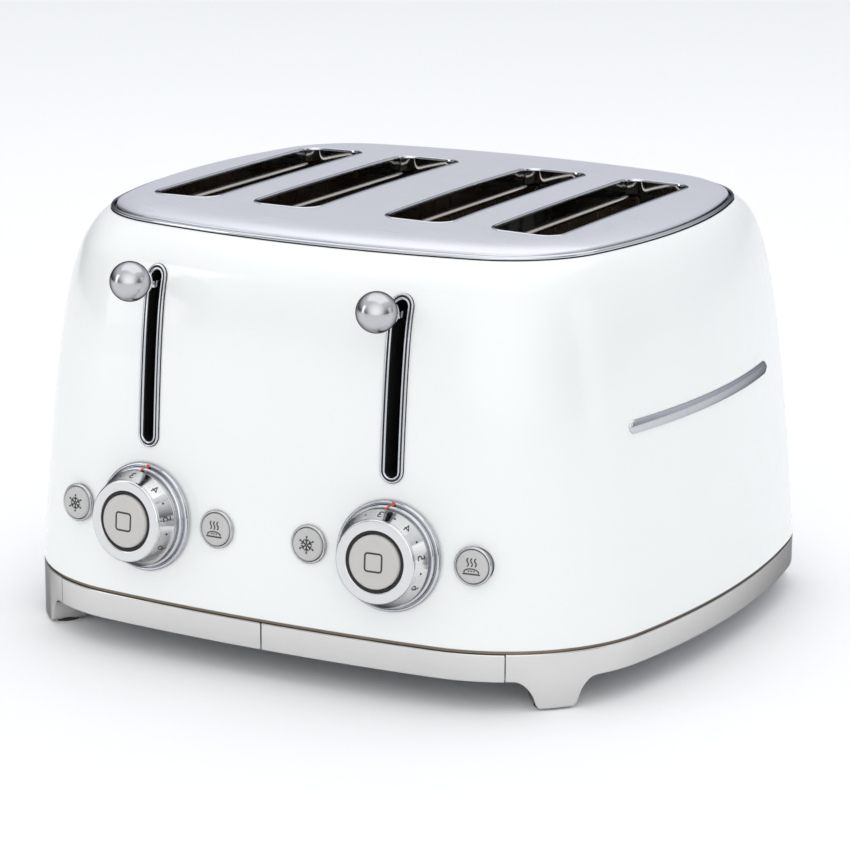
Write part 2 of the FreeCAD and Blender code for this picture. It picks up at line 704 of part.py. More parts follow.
# ------------------------------------------------------------------------------------------
# Controls, modelled along local +Z
# ------------------------------------------------------------------------------------------
def dial_bezel():
    """Stepped ring round the browning dial, with a sleeve through the casing."""
    return turned([(BEZEL_BORE, -9.0), (BEZEL_SLEEVE_R, -9.0), (BEZEL_SLEEVE_R, 0.5),
                   (BEZEL_R, 0.5), (BEZEL_R, 2.4), (BEZEL_R - 0.6, 3.0), (24.6, 3.0),
                   (24.6, 4.6), (24.0, 5.2), (22.6, 5.2), (22.6, 6.6), (22.0, 7.0),
                   (BEZEL_BORE, 7.0)])


def dial():
    """Browning dial: a conical skirt, a proud front ring and a hollow shaft."""
    shaft_r = BEZEL_BORE - 0.07
    bore = CENTRE_R + 0.4
    return turned([(bore, -12.0), (shaft_r, -12.0), (shaft_r, DIAL_SKIRT_Z),
                   (DIAL_SKIRT_R, DIAL_SKIRT_Z), (DIAL_SKIRT_R, DIAL_SKIRT_Z + 0.8),
                   (DIAL_R, DIAL_FACE - 1.6), (DIAL_R, DIAL_FACE - 0.5),
                   (DIAL_R - 0.5, DIAL_FACE), (bore + 0.6, DIAL_FACE), (bore, DIAL_FACE - 0.6)])


def centre_button():
    """Push button in the middle of the dial, with its plunger."""
    return turned([(0, -11.0), (2.5, -11.0), (2.5, 8.0), (CENTRE_R, 8.0),
                   (CENTRE_R, CENTRE_FACE - 1.6), (CENTRE_R - 0.8, CENTRE_FACE - 0.5),
                   (CENTRE_R - 3, CENTRE_FACE), (0, CENTRE_FACE)])


def function_bezel():
    """Small ring round a function button."""
    bore = BUTTON_R + 0.1
    return turned([(bore, -6.0), (BUTTON_SLEEVE_R, -6.0), (BUTTON_SLEEVE_R, 0.4),
                   (BUTTON_BEZEL_R, 0.4), (BUTTON_BEZEL_R, 1.0),
                   (BUTTON_BEZEL_R - 0.5, 1.6), (bore, 1.6)])


def function_button(x):
    """Small push button, its plunger ending just short of the switch behind it."""
    switch_y = BOARD_Y - SWITCH_H
    tip = front_frame(x, DIAL_Z).Base.y - switch_y + SWITCH_GAP
    return turned([(0, tip), (1.8, tip), (1.8, -6.0), (BUTTON_R - 0.6, -6.0),
                   (BUTTON_R - 0.6, -1.0), (BUTTON_R, -1.0), (BUTTON_R, 2.2),
                   (BUTTON_R - 1.2, 2.8), (0, 2.8)])


def pointer_marks():
    """Small enamel marks on top of the bezels."""
    mark = box(-0.9, 0.9, 24.7, 26.0, 3.0, 3.5)
    return Part.makeCompound([on_front(mark, side * DIAL_X, DIAL_Z) for side in (-1, 1)])


def function_bezels():
    """The four small rings."""
    ring_solid = function_bezel()
    rings = []
    for side in (-1, 1):
        for step in (-1, 1):
            rings.append(on_front(ring_solid, side * DIAL_X + step * BUTTON_REACH, DIAL_Z))
    return Part.makeCompound(rings)


def control_board():
    """Right-hand circuit board with its dial sensor and switches."""
    board = box(DIAL_X - 47.5, DIAL_X + 47.5, BOARD_Y, BOARD_Y + 1.6, 45.0, 100.0)
    sensor = ring(4.0, 12.0, 0, 3.4)
    sensor.rotate(Vector(0, 0, 0), X_AXIS, 90)
    sensor.translate(Vector(DIAL_X, BOARD_Y, DIAL_Z))
    pieces = [board, sensor]
    for step in (-1, 1):
        x = DIAL_X + step * BUTTON_REACH
        pieces.append(box(x - 3, x + 3, BOARD_Y - SWITCH_H, BOARD_Y, DIAL_Z - 3, DIAL_Z + 3))
    pieces.append(box(DIAL_X - 3, DIAL_X + 3, BOARD_Y - 2 * SWITCH_H, BOARD_Y,
                      DIAL_Z - 3, DIAL_Z + 3))
    for k in range(5):
        x = DIAL_X - 36 + k * 9.0
        pieces.append(box(x, x + 5, BOARD_Y - 2.5, BOARD_Y, 88.0, 96.0))
    return fuse_all(pieces)


def holding_magnets():
    """Electromagnets behind the boards that hold the carriages down."""
    top = LEVER_Z - 8.5 - LEVER_DROP - 0.5
    core = box(LEVER_X - 9, LEVER_X + 4, BOARD_Y + 1.6, -114.0, top - 15, top - 12)
    poles = [box(LEVER_X - 9, LEVER_X + 4, y, y + 5, top - 12, top) for y in (-135.0, -119.0)]
    coil = box(LEVER_X - 8, LEVER_X + 3, -130.0, -119.0, top - 12, top - 2)
    magnet = fuse_all([core, coil] + poles)
    return Part.makeCompound([magnet, mirrored(magnet)])


def board_standoffs():
    """Turned posts that carry the circuit boards on the front end plate."""
    posts = []
    for side in (-1, 1):
        for x in (DIAL_X - 43.5, DIAL_X + 43.5):
            for z in (60.0, 95.0):
                start = Vector(side * x, BOARD_Y + 1.6, z)
                posts.append(rod(start, Vector(side * x, FRONT_PLATE_Y, z), 2.6))
    return Part.makeCompound(posts)


# ------------------------------------------------------------------------------------------
# Mains entry
# ------------------------------------------------------------------------------------------
def cable_gland():
    """Rubber gland in the back of the casing for the mains lead."""
    gland = turned([(3.6, -8.0), (GLAND_R - 2.1, -8.0), (GLAND_R - 2.1, 0.2), (GLAND_R, 0.2),
                    (GLAND_R - 1, 2.4), (4.4, 2.4), (3.6, 1.6)])
    gland.rotate(Vector(0, 0, 0), X_AXIS, -90)
    surface = math.sqrt(FRONT_R ** 2 - GLAND_X ** 2) - (FRONT_R - HALF_D)
    gland.translate(Vector(GLAND_X, surface - profile_at(GLAND_Z)[1] + 0.2, GLAND_Z))
    return gland


def terminal_block():
    """Screw terminals on the chamber floor behind the rear end plate."""
    block = box(GLAND_X - 22, GLAND_X + 22, 104.0, 122.0, SHELL_Z0, SHELL_Z0 + 15)
    for k in range(3):
        well = Part.makeCylinder(3, 6, Vector(GLAND_X - 14 + k * 14, 113, SHELL_Z0 + 10))
        block = block.cut(well)
    return block


# ------------------------------------------------------------------------------------------
# Write every node
# ------------------------------------------------------------------------------------------
def save_casing():
    """Outer skin, base and mains entry."""
    save("body_shell", body_shell())
    save("top_panel", top_panel())
    save("top_rim", top_rim())
    save("badge_bar", badge_bar())
    save("left_lever_trim", lever_trim(-1))
    save("right_lever_trim", lever_trim(1))
    save("base_band", base_band())
    save("foot_pads", foot_pads())
    save("bottom_plate", bottom_plate())
    save("base_screws", base_screws())
    tray = crumb_tray()
    save("right_crumb_tray", tray)
    save("left_crumb_tray", mirrored(tray))
    save("cable_gland", cable_gland())
    save("terminal_block", terminal_block())


def save_chamber():
    """Chassis, heaters, guides and racks."""
    save("chassis_floor", chassis_base())
    save("front_chassis_plate", front_chassis_plate())
    save("rear_chassis_plate", chamber_plate(REAR_PLATE_Y))
    save("heater_cards", heater_cards())
    save("heater_ribbons", heater_ribbons())
    for number, x in enumerate(SLOT_X, 1):
        save("bread_rack_%d" % number, bread_rack(x))
        save("bread_guide_%d_left" % number, bread_guide(x, -1))
        save("bread_guide_%d_right" % number, bread_guide(x, 1))


def save_levers():
    """Both carriages with their levers, rods and springs."""
    pieces = {
        "carriage_bracket": carriage_bracket(),
        "carriage_bush": carriage_bush(),
        "lever_stem": lever_stem(),
        "lever_ball": lever_ball(),
        "lever_collar": lever_collar(),
        "return_spring": return_spring(),
    }
    for name, shape in pieces.items():
        save("right_" + name, shape)
        save("left_" + name, mirrored(shape))
    save("guide_rods", guide_rods())


def save_controls():
    """Dials, buttons and the boards behind them."""
    for name, side in (("left", -1), ("right", 1)):
        x = side * DIAL_X
        save(name + "_dial_bezel", on_front(dial_bezel(), x, DIAL_Z))
        save(name + "_dial", on_front(dial(), x, DIAL_Z))
        save(name + "_cancel_button", on_front(centre_button(), x, DIAL_Z))
        for use, step in (("defrost", -BUTTON_REACH), ("bagel", BUTTON_REACH)):
            button = on_front(function_button(x + step), x + step, DIAL_Z)
            save(name + "_" + use + "_button", button)
    save("function_bezels", function_bezels())
    save("pointer_marks", pointer_marks())
    board = control_board()
    save("right_control_board", board)
    save("left_control_board", mirrored(board))
    save("holding_magnets", holding_magnets())
    save("board_standoffs", board_standoffs())


os.makedirs("parts", exist_ok=True)
save_casing()
save_chamber()
save_levers()
save_controls()
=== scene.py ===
# %% [markdown]
# # A four-slot pop-up toaster
# The engineering model comes in first as a fixed frame: every sheet, knob and wire already has
# its place and its joint. This file then gives each visible piece the shape and finish of the
# real one. Lengths below are in millimetres, as a toolmaker would write them, and one function
# turns them into Blender's metres.

# %% Load the frame
import json
import math

import bmesh
import bpy
from mathutils import Matrix, Vector
from mathutils.bvhtree import BVHTree


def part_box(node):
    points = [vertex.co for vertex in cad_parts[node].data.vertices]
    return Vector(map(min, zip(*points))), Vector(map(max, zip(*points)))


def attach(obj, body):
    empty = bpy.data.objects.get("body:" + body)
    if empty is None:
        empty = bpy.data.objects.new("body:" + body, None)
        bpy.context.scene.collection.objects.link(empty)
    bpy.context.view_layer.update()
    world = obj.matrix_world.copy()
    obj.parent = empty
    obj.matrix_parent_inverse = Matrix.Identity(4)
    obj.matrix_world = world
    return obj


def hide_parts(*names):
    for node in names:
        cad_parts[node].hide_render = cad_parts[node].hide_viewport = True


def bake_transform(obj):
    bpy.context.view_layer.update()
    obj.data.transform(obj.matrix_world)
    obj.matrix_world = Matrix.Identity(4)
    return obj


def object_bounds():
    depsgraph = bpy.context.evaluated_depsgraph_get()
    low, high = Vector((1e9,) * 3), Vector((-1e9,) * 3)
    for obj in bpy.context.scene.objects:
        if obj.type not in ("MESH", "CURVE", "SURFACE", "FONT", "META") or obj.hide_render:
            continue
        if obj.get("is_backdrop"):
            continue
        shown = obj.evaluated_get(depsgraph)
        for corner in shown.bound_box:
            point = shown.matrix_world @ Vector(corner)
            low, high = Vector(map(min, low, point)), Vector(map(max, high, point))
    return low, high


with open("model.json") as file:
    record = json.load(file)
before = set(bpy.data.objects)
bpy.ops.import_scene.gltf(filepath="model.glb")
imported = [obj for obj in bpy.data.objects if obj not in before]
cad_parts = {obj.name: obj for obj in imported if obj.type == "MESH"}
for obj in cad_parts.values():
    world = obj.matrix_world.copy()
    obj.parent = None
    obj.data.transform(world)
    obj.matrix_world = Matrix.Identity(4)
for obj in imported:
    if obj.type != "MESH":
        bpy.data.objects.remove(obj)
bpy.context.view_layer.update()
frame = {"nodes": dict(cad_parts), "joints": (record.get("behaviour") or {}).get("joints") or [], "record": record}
MM = 0.001
joints = {joint["name"]: joint for joint in frame["joints"]}

# %% [markdown]
# ## The casing's plan
# The casing is not a rounded rectangle. Its front, back and sides are long shallow arcs, and
# corner arcs join them without a kink. Because everything round the toaster (casing, top rim,
# base band) follows this one plan, one function draws it for all of them. It also returns the
# outward direction at each point, which is what a wall thickness or a bead is measured along.


# %% Plan outline
def outline(half_w, half_d, front_r, side_r, corner_r, steps):
    """(x, y, nx, ny) round eight tangent arcs, counter-clockwise from the right-hand side."""
    side_c = half_w - side_r
    front_c = half_d - front_r
    gap = math.hypot(side_c, front_c)
    reach_1 = side_r - corner_r
    reach_2 = front_r - corner_r
    along = (reach_1 ** 2 - reach_2 ** 2 + gap ** 2) / (2 * gap)
    across = math.sqrt(reach_1 ** 2 - along ** 2)
    ux, uy = -side_c / gap, front_c / gap
    cx = side_c + along * ux - across * uy
    cy = along * uy + across * ux
    a1 = math.atan2(cy, cx - side_c)
    a2 = math.atan2(cy - front_c, cx)
    half_turn = math.pi
    arcs = [
        (side_c, 0, side_r, -a1, a1), (cx, cy, corner_r, a1, a2),
        (0, front_c, front_r, a2, half_turn - a2),
        (-cx, cy, corner_r, half_turn - a2, half_turn - a1),
        (-side_c, 0, side_r, half_turn - a1, half_turn + a1),
        (-cx, -cy, corner_r, half_turn + a1, half_turn + a2),
        (0, -front_c, front_r, half_turn + a2, 2 * half_turn - a2),
        (cx, -cy, corner_r, 2 * half_turn - a2, 2 * half_turn - a1)]
    points = []
    for ox, oy, radius, start, end in arcs:
        for k in range(steps):
            a = start + (end - start) * k / steps
            nx, ny = math.cos(a), math.sin(a)
            points.append((ox + radius * nx, oy + radius * ny, nx, ny))
    return points


shell_low, shell_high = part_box("body_shell")
HALF_W = (shell_high.x - shell_low.x) / 2 / MM
HALF_D = (shell_high.y - shell_low.y) / 2 / MM
MIDDLE_Y = (shell_high.y + shell_low.y) / 2 / MM
SHELL_Z0 = shell_low.z / MM
SHELL_TOP = shell_high.z / MM
# Radii of the front, side and corner arcs at the bottom and at the top of the casing.
BASE_PLAN = (1000.0, 480.0, 83.0)
TOP_PLAN = (450.0, 300.0, 58.0)
print("casing: %.1f x %.1f mm, %.1f to %.1f high" % (2 * HALF_W, 2 * HALF_D, SHELL_Z0, SHELL_TOP))

# %% [markdown]
# ## The casing's wall
# Going up, the wall leans in slowly and then turns over a shoulder into the top. A few stations
# give the inset at each height, once for the sides and once for the front and back, which stay
# steeper. Between stations a cubic with limited slopes keeps the wall smooth with no waves, as
# a deep-drawn steel skin is.

# %% Wall profile
STATIONS = [(SHELL_Z0, 0.0, 0.0), (81.0, 3.6, 3.6), (134.0, 8.8, 6.4), (170.0, 13.8, 9.6),
            (190.0, 19.0, 14.0), (200.0, 23.6, 21.5), (SHELL_TOP, 28.5, 32.0)]


def station_slopes(column):
    """Slope of the inset at each station, limited so that the curve never turns back."""
    rises = [(b[column] - a[column]) / (b[0] - a[0]) for a, b in zip(STATIONS, STATIONS[1:])]
    inner = [2 * p * q / (p + q) if p * q > 0 else 0.0 for p, q in zip(rises, rises[1:])]
    return [rises[0]] + inner + [1.3 * rises[-1]]


SLOPES = {column: station_slopes(column) for column in (1, 2)}


def inset_at(z, column):
    """Inset of the wall at height z: column 1 for the sides, 2 for the front and back."""
    z = min(max(z, SHELL_Z0), SHELL_TOP)
    for k, (a, b) in enumerate(zip(STATIONS, STATIONS[1:])):
        if z <= b[0]:
            break
    h = b[0] - a[0]
    t = (z - a[0]) / h
    m0, m1 = SLOPES[column][k] * h, SLOPES[column][k + 1] * h
    return ((2 * t ** 3 - 3 * t ** 2 + 1) * a[column] + (t ** 3 - 2 * t ** 2 + t) * m0
            + (3 * t ** 2 - 2 * t ** 3) * b[column] + (t ** 3 - t ** 2) * m1)


def plan_at(z):
    """Front, side and corner radii of the plan at height z."""
    t = min(max((z - SHELL_Z0) / (SHELL_TOP - SHELL_Z0), 0), 1)
    return [low + (high - low) * t for low, high in zip(BASE_PLAN, TOP_PLAN)]


def casing_ring(z, inset, steps=20, at_z=None):
    """One closed ring of the casing at height z, moved inwards by inset."""
    radii = [radius - inset for radius in plan_at(z)]
    plan = outline(HALF_W - inset_at(z, 1) - inset, HALF_D - inset_at(z, 2) - inset, *radii, steps)
    height = z if at_z is None else at_z
    return [Vector((x, y + MIDDLE_Y, height)) for x, y, nx, ny in plan]


def front_y(x, z):
    """Y of the casing's front surface."""
    radius = plan_at(z)[0]
    return MIDDLE_Y - (HALF_D - inset_at(z, 2)) + radius - math.sqrt(radius ** 2 - x ** 2)


def front_normal(x, z):
    """Outward direction of the casing's front surface."""
    step = 0.5
    dx = (front_y(x + step, z) - front_y(x - step, z)) / (2 * step)
    dz = (front_y(x, z + step) - front_y(x, z - step)) / (2 * step)
    return Vector((dx, -1, dz)).normalized()


print("inset at the shoulder: sides %.1f, front %.1f mm" % (inset_at(200, 1), inset_at(200, 2)))

# %% [markdown]
# ## Helpers for meshes
# Nearly every piece is either lofted through rings or turned on a lathe. A sharp mathematical
# edge never looks real, because any pressed, moulded or turned edge has a small radius that
# catches the light, so `rounded` puts that radius on each corner of a section before it is
# lofted or turned.


# %% Mesh helpers
def rounded(points, radius, closed=False, steps=4):
    """A section with each corner replaced by a small arc. A point may carry its own radius."""
    count = len(points)
    result = []
    for k, point in enumerate(points):
        here = Vector(point[:2])
        r = point[2] if len(point) > 2 else radius
        if not closed and k in (0, count - 1) or r <= 0:
            result.append(here)
            continue
        before = Vector(points[k - 1][:2]) - here
        after = Vector(points[(k + 1) % count][:2]) - here
        if before.length < 1e-6 or after.length < 1e-6:
            continue
        cut = min(r, 0.45 * before.length, 0.45 * after.length)
        a, b = here + before.normalized() * cut, here + after.normalized() * cut
        for j in range(steps + 1):
            t = j / steps
            result.append(a * (1 - t) ** 2 + here * 2 * t * (1 - t) + b * t ** 2)
    return result


def loft(rings, around=True, along=False):
    """Points and faces of a skin through rings of equal length."""
    n = len(rings[0])
    points = [point for ring in rings for point in ring]
    faces = []
    spans = len(rings) if along else len(rings) - 1
    for i in range(spans):
        for j in range(n if around else n - 1):
            a, b = i * n + j, i * n + (j + 1) % n
            step = ((i + 1) % len(rings)) * n
            faces.append((a, b, step + (j + 1) % n, step + j))
    return points, faces


def capped(rings):
    """A skin through rings, closed with a flat face at each end."""
    points, faces = loft(rings)
    n = len(rings[0])
    last = (len(rings) - 1) * n
    faces.append(tuple(range(n - 1, -1, -1)))
    faces.append(tuple(range(last, last + n)))
    return points, faces


def turned(section, segments=96):
    """A closed section of (radius, height) spun about the local Z axis."""
    rings = []
    for k in range(segments):
        a = 2 * math.pi * k / segments
        rings.append([Vector((r * math.cos(a), r * math.sin(a), z)) for r, z in section])
    return loft(rings, around=True, along=True)


def joined(parts):
    """Several (points, faces) as one."""
    points, faces = [], []
    for part_points, part_faces in parts:
        base = len(points)
        points += part_points
        faces += [tuple(base + index for index in face) for face in part_faces]
    return points, faces


def moved(part, matrix):
    """A part carried by a matrix."""
    return [matrix @ point for point in part[0]], part[1]


def piece(name, part, body, material, stands_for=(), sharp=32.0):
    """A finished object from millimetre points: cleaned, shaded, painted and tied to a body.

    With no body it is left free, for a piece that stretches between two bodies.
    """
    points, faces = part
    mesh = bpy.data.meshes.new(name)
    mesh.from_pydata([point * MM for point in points], [], faces)
    shaped = bmesh.new()
    shaped.from_mesh(mesh)
    bmesh.ops.remove_doubles(shaped, verts=shaped.verts, dist=1e-6)
    bmesh.ops.dissolve_degenerate(shaped, edges=shaped.edges, dist=1e-6)
    bmesh.ops.recalc_face_normals(shaped, faces=shaped.faces)
    shaped.to_mesh(mesh)
    shaped.free()
    mesh.polygons.foreach_set("use_smooth", [True] * len(mesh.polygons))
    mesh.set_sharp_from_angle(angle=math.radians(sharp))
    thing = bpy.data.objects.new(name, mesh)
    bpy.context.scene.collection.objects.link(thing)
    thing.data.materials.append(material)
    if body:
        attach(thing, body)
    if stands_for:
        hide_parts(*stands_for)
    print("%-28s %6d faces on %s" % (name, len(mesh.polygons), body or "two bodies"))
    return thing


# %% [markdown]
# ## Helpers for materials
# Each finish is a small node tree. One function adds any node: settings are given by name,
# inputs by a dictionary, and an input that is given another node's output is linked to it.
# Colours are written as the sRGB hex values that a paint chart would use, and turned to linear
# light in one place.


# %% Material helpers
def linear(hex_colour):
    """Linear RGBA from an sRGB hex value."""
    channels = [int(hex_colour[k:k + 2], 16) / 255 for k in (1, 3, 5)]
    return tuple(c / 12.92 if c <= 0.04045 else ((c + 0.055) / 1.055) ** 2.4
                 for c in channels) + (1.0,)


def put(tree, kind, inputs=None, **settings):
    """Add one node with its settings, values and links."""
    node = tree.nodes.new("ShaderNode" + kind)
    for key, value in settings.items():
        setattr(node, key, value)
    for key, value in (inputs or {}).items():
        if isinstance(value, bpy.types.NodeSocket):
            tree.links.new(value, node.inputs[key])
        else:
            node.inputs[key].default_value = value
    return node


def new_material(name):
    """An empty material with its shader and the object's own coordinates."""
    material = bpy.data.materials.new(name)
    material.use_nodes = True
    tree = material.node_tree
    tree.nodes.clear()
    shader = put(tree, "BsdfPrincipled")
    output = put(tree, "OutputMaterial")
    tree.links.new(shader.outputs["BSDF"], output.inputs["Surface"])
    place = put(tree, "TexCoord").outputs["Object"]
    return material, tree, shader, place


def per_mm(size):
    """Texture scale that gives features of this size in millimetres."""
    return 1.0 / (size * MM)


def noise(tree, place, size, detail=3.0, stretch=(1, 1, 1)):
    """Noise with features of about `size` millimetres, longer where stretch is small."""
    spread = put(tree, "Mapping", {"Vector": place, "Scale": stretch})
    return put(tree, "TexNoise", {"Vector": spread.outputs["Vector"], "Scale": per_mm(size),
                                  "Detail": detail}).outputs["Fac"]


def ranged(tree, value, low, high):
    """A noise value, which stays near its middle, spread over a working range."""
    return put(tree, "MapRange", {"Value": value, "From Min": 0.3, "From Max": 0.7,
                                  "To Min": low, "To Max": high}).outputs["Result"]


def tinted(tree, factor, first, second):
    """A colour between two hex values."""
    mix = put(tree, "Mix", data_type="RGBA")
    tree.links.new(factor, mix.inputs[0])
    mix.inputs[6].default_value = linear(first)
    mix.inputs[7].default_value = linear(second)
    return mix.outputs[2]


def bumped(tree, shader, height, depth, strength):
    """Surface relief, with its depth in millimetres."""
    bump = put(tree, "Bump", {"Height": height, "Distance": depth * MM, "Strength": strength})
    tree.links.new(bump.outputs["Normal"], shader.inputs["Normal"])


# %% [markdown]
# ## Enamel
# The casing is deep-drawn sheet with a baked gloss powder coat, which people call enamel. It
# looks almost white, reflects softly, and shows a very shallow orange-peel relief a few
# millimetres across. A clear coat over the paint gives the crisp outer highlight.

# %% White enamel
enamel, tree, shader, place = new_material("gloss_white_enamel")
tone = noise(tree, place, 60.0, detail=1.0)
colour = tinted(tree, tone, "#EFF0EE", "#EBEDEC")
tree.links.new(colour, shader.inputs["Base Color"])
tree.links.new(ranged(tree, noise(tree, place, 9.0), 0.20, 0.27), shader.inputs["Roughness"])
shader.inputs["IOR"].default_value = 1.52
shader.inputs["Coat Weight"].default_value = 0.6
shader.inputs["Coat Roughness"].default_value = 0.06
bumped(tree, shader, noise(tree, place, 2.6, detail=1.0), depth=0.012, strength=0.5)
print("material:", enamel.name)

# %% [markdown]
# ## Polished, satin and brushed metal
# Every metal here is the same idea with different numbers. Chrome plate is a near-perfect
# mirror, and the satin chrome of the knobs and dials has a fine blasted tooth. The top panel and
# the base band are brushed stainless steel, where long scratches run one way, so their noise is
# stretched and shallow. The brushing is finer than a render can resolve, so it is drawn coarser.
# Plated metal also darkens a little at glancing angles, which the edge tint sets. On the knob
# balls the edge tint is near black, a painted dark reflection round the rim.


# %% Metal finishes
def metal(name, light, dark, rough, grain, stretch=(1, 1, 1), depth=0.004, patch=25.0, tooth=0.5,
          edge="#FFFFFF"):
    """Metal with patchy tone, varied roughness, a grain size and a tint at glancing angles."""
    material, tree, shader, place = new_material(name)
    mottled = noise(tree, place, patch, detail=4.0)
    fine = noise(tree, place, grain, detail=4.0, stretch=stretch)
    blend = put(tree, "Math", {0: mottled, 1: fine}, operation="MULTIPLY_ADD")
    blend.inputs[2].default_value = 0.15
    tree.links.new(tinted(tree, blend.outputs[0], dark, light), shader.inputs["Base Color"])
    shader.inputs["Metallic"].default_value = 1.0
    shader.inputs["Specular Tint"].default_value = linear(edge)
    tree.links.new(ranged(tree, fine, rough * 0.8, rough * 1.25), shader.inputs["Roughness"])
    bumped(tree, shader, fine, depth=depth, strength=tooth)
    return material


chrome = metal("polished_chrome", "#D6D8DB", "#C6C8CC", 0.06, 4.0, depth=0.002, tooth=0.2,
               edge="#6A6C70")
# Near-black edge tint: painted dark reflection round the ball's rim.
knob_chrome = metal("satin_knob_chrome", "#C9C9CC", "#BBBBBE", 0.21, 0.5, depth=0.006,
                    edge="#101113")
satin_chrome = metal("satin_dial_chrome", "#E2E2E2", "#D6D6D6", 0.11, 0.5, depth=0.005,
                     edge="#505256")
ring_chrome = metal("dull_ring_chrome", "#D0D0D1", "#C2C2C4", 0.22, 0.5, depth=0.006,
                    edge="#606266")
panel_steel = metal("brushed_top_panel", "#DCDCE1", "#D3D3DA", 0.34, 0.5, stretch=(0.03, 1, 1),
                    depth=0.0015, patch=80.0, tooth=0.3)
band_steel = metal("brushed_base_band", "#E0DFDE", "#D2D0CE", 0.16, 0.6,
                   stretch=(0.05, 0.05, 1), depth=0.003, edge="#9A9A9A")
bright_wire = metal("bright_guide_wire", "#D9D5CE", "#A89F93", 0.16, 1.2, depth=0.01)
zinc_steel = metal("zinc_plated_steel", "#C9CCD0", "#9DA2A8", 0.34, 3.0, depth=0.02, patch=9.0)
chamber_steel = metal("heat_darkened_steel", "#9A8F84", "#6A5F55", 0.33, 2.5,
                      stretch=(0.2, 0.2, 1), depth=0.03, patch=30.0)
nichrome = metal("oxidised_nichrome", "#5A544F", "#37322E", 0.45, 0.9, depth=0.02, patch=6.0)
iron = metal("oiled_magnet_iron", "#6B5A4C", "#3C322B", 0.5, 1.6, depth=0.05, patch=7.0)
print("metals:", chrome.name, satin_chrome.name, panel_steel.name, band_steel.name)

# %% [markdown]
# ## Plastics, rubber and paint marks
# The buttons are moulded ABS with a fine spark-eroded texture. The feet are EPDM rubber, dull
# and slightly dusty. The hidden bearings are black nylon. One function sets them apart by
# colour, roughness and texture size. A coloured mark is thin pad-printed ink.


# %% Plastic finishes
def moulded(name, first, second, rough, grain, depth, sheen=0.0, coat=0.0):
    """Moulded plastic or rubber with slight tone changes and a fine surface texture."""
    material, tree, shader, place = new_material(name)
    tone = noise(tree, place, 14.0, detail=3.0)
    tree.links.new(tinted(tree, tone, first, second), shader.inputs["Base Color"])
    shader.inputs["IOR"].default_value = 1.53
    shader.inputs["Sheen Weight"].default_value = sheen
    shader.inputs["Coat Weight"].default_value = coat
    fine = noise(tree, place, grain, detail=2.0)
    tree.links.new(ranged(tree, fine, rough * 0.85, rough * 1.15), shader.inputs["Roughness"])
    bumped(tree, shader, fine, depth=depth, strength=0.6)
    return material


button_abs = moulded("warm_grey_abs", "#C4C0BE", "#BCB8B6", 0.42, 0.45, 0.010)
pale_abs = moulded("pale_grey_abs", "#C0BFBE", "#B8B7B6", 0.36, 0.45, 0.008)
rubber = moulded("epdm_rubber", "#1B1B1C", "#2A2A2B", 0.72, 0.8, 0.05, sheen=0.15)
black_nylon = moulded("black_nylon", "#131315", "#1E1E20", 0.44, 0.7, 0.02)
phenolic = moulded("terminal_block_phenolic", "#201C19", "#2E2823", 0.5, 1.0, 0.03)
dark_ink = moulded("pad_printed_ink", "#2A2A2C", "#343437", 0.5, 0.6, 0.004)
red_enamel = moulded("orange_red_enamel", "#D8401F", "#C93517", 0.3, 0.8, 0.004, coat=0.4)
# Near-black matt finish for dark pieces set in grooves, gaps and behind openings where there is only shade:
# painted shadow.
shadow_black = moulded("painted_shadow_black", "#060607", "#0B0B0C", 0.6, 1.5, 0.02)
print("plastics:", button_abs.name, rubber.name, dark_ink.name)

# %% [markdown]
# ## Cutting holes without spoiling the reflections
# A casing is pressed first and pierced afterwards. The same order works here: loft the whole
# skin, then cut the openings with a boolean. A cut leaves long uneven faces that would show as
# dents in a glossy coat, so the surface directions are copied back from the uncut skin.


# %% Cutters and clean cuts
def stadium_ring(half_w, z0, z1, steps=14):
    """Upright slot outline as (x, z) points."""
    points = []
    for centre, start in ((z1 - half_w, 0.0), (z0 + half_w, math.pi)):
        for k in range(steps + 1):
            a = start + math.pi * k / steps
            points.append((half_w * math.cos(a), centre + half_w * math.sin(a)))
    return points


def slot_prism(x, half_w, z0, z1, y0, y1):
    """A slot-shaped cutter along Y."""
    ring = stadium_ring(half_w, z0, z1)
    return capped([[Vector((x + dx, y, z)) for dx, z in ring] for y in (y0, y1)])


def round_prism(matrix, radius, z0, z1, segments=64):
    """A round cutter along a matrix's own Z."""
    rings = []
    for z in (z0, z1):
        angles = [2 * math.pi * k / segments for k in range(segments)]
        rings.append([matrix @ Vector((radius * math.cos(a), radius * math.sin(a), z))
                      for a in angles])
    return capped(rings)


def mesh_object(name, part):
    """A bare helper object."""
    mesh = bpy.data.meshes.new(name)
    mesh.from_pydata([point * MM for point in part[0]], [], part[1])
    shaped = bmesh.new()
    shaped.from_mesh(mesh)
    bmesh.ops.remove_doubles(shaped, verts=shaped.verts, dist=1e-6)
    bmesh.ops.recalc_face_normals(shaped, faces=shaped.faces)
    shaped.to_mesh(mesh)
    shaped.free()
    thing = bpy.data.objects.new(name, mesh)
    bpy.context.scene.collection.objects.link(thing)
    return thing


def pierce(thing, cutters):
    """Cut every cutter out of an object, keeping the uncut skin's surface directions."""
    uncut = thing.copy()
    uncut.data = thing.data.copy()
    bpy.context.scene.collection.objects.link(uncut)
    tool = mesh_object(thing.name + "_cutter", joined(cutters))
    cut = thing.modifiers.new("pierced", "BOOLEAN")
    cut.operation = "DIFFERENCE"
    cut.solver = "EXACT"
    cut.use_self = True
    cut.object = tool
    carried = thing.modifiers.new("skin", "DATA_TRANSFER")
    carried.object = uncut
    carried.use_loop_data = True
    carried.data_types_loops = {"CUSTOM_NORMAL"}
    carried.loop_mapping = "POLYINTERP_NEAREST"
    depsgraph = bpy.context.evaluated_depsgraph_get()
    result = bpy.data.meshes.new_from_object(thing.evaluated_get(depsgraph))
    thing.modifiers.clear()
    thing.data = result
    bpy.data.objects.remove(tool)
    bpy.data.objects.remove(uncut)
    print("pierced %s: %d faces" % (thing.name, len(result.polygons)))


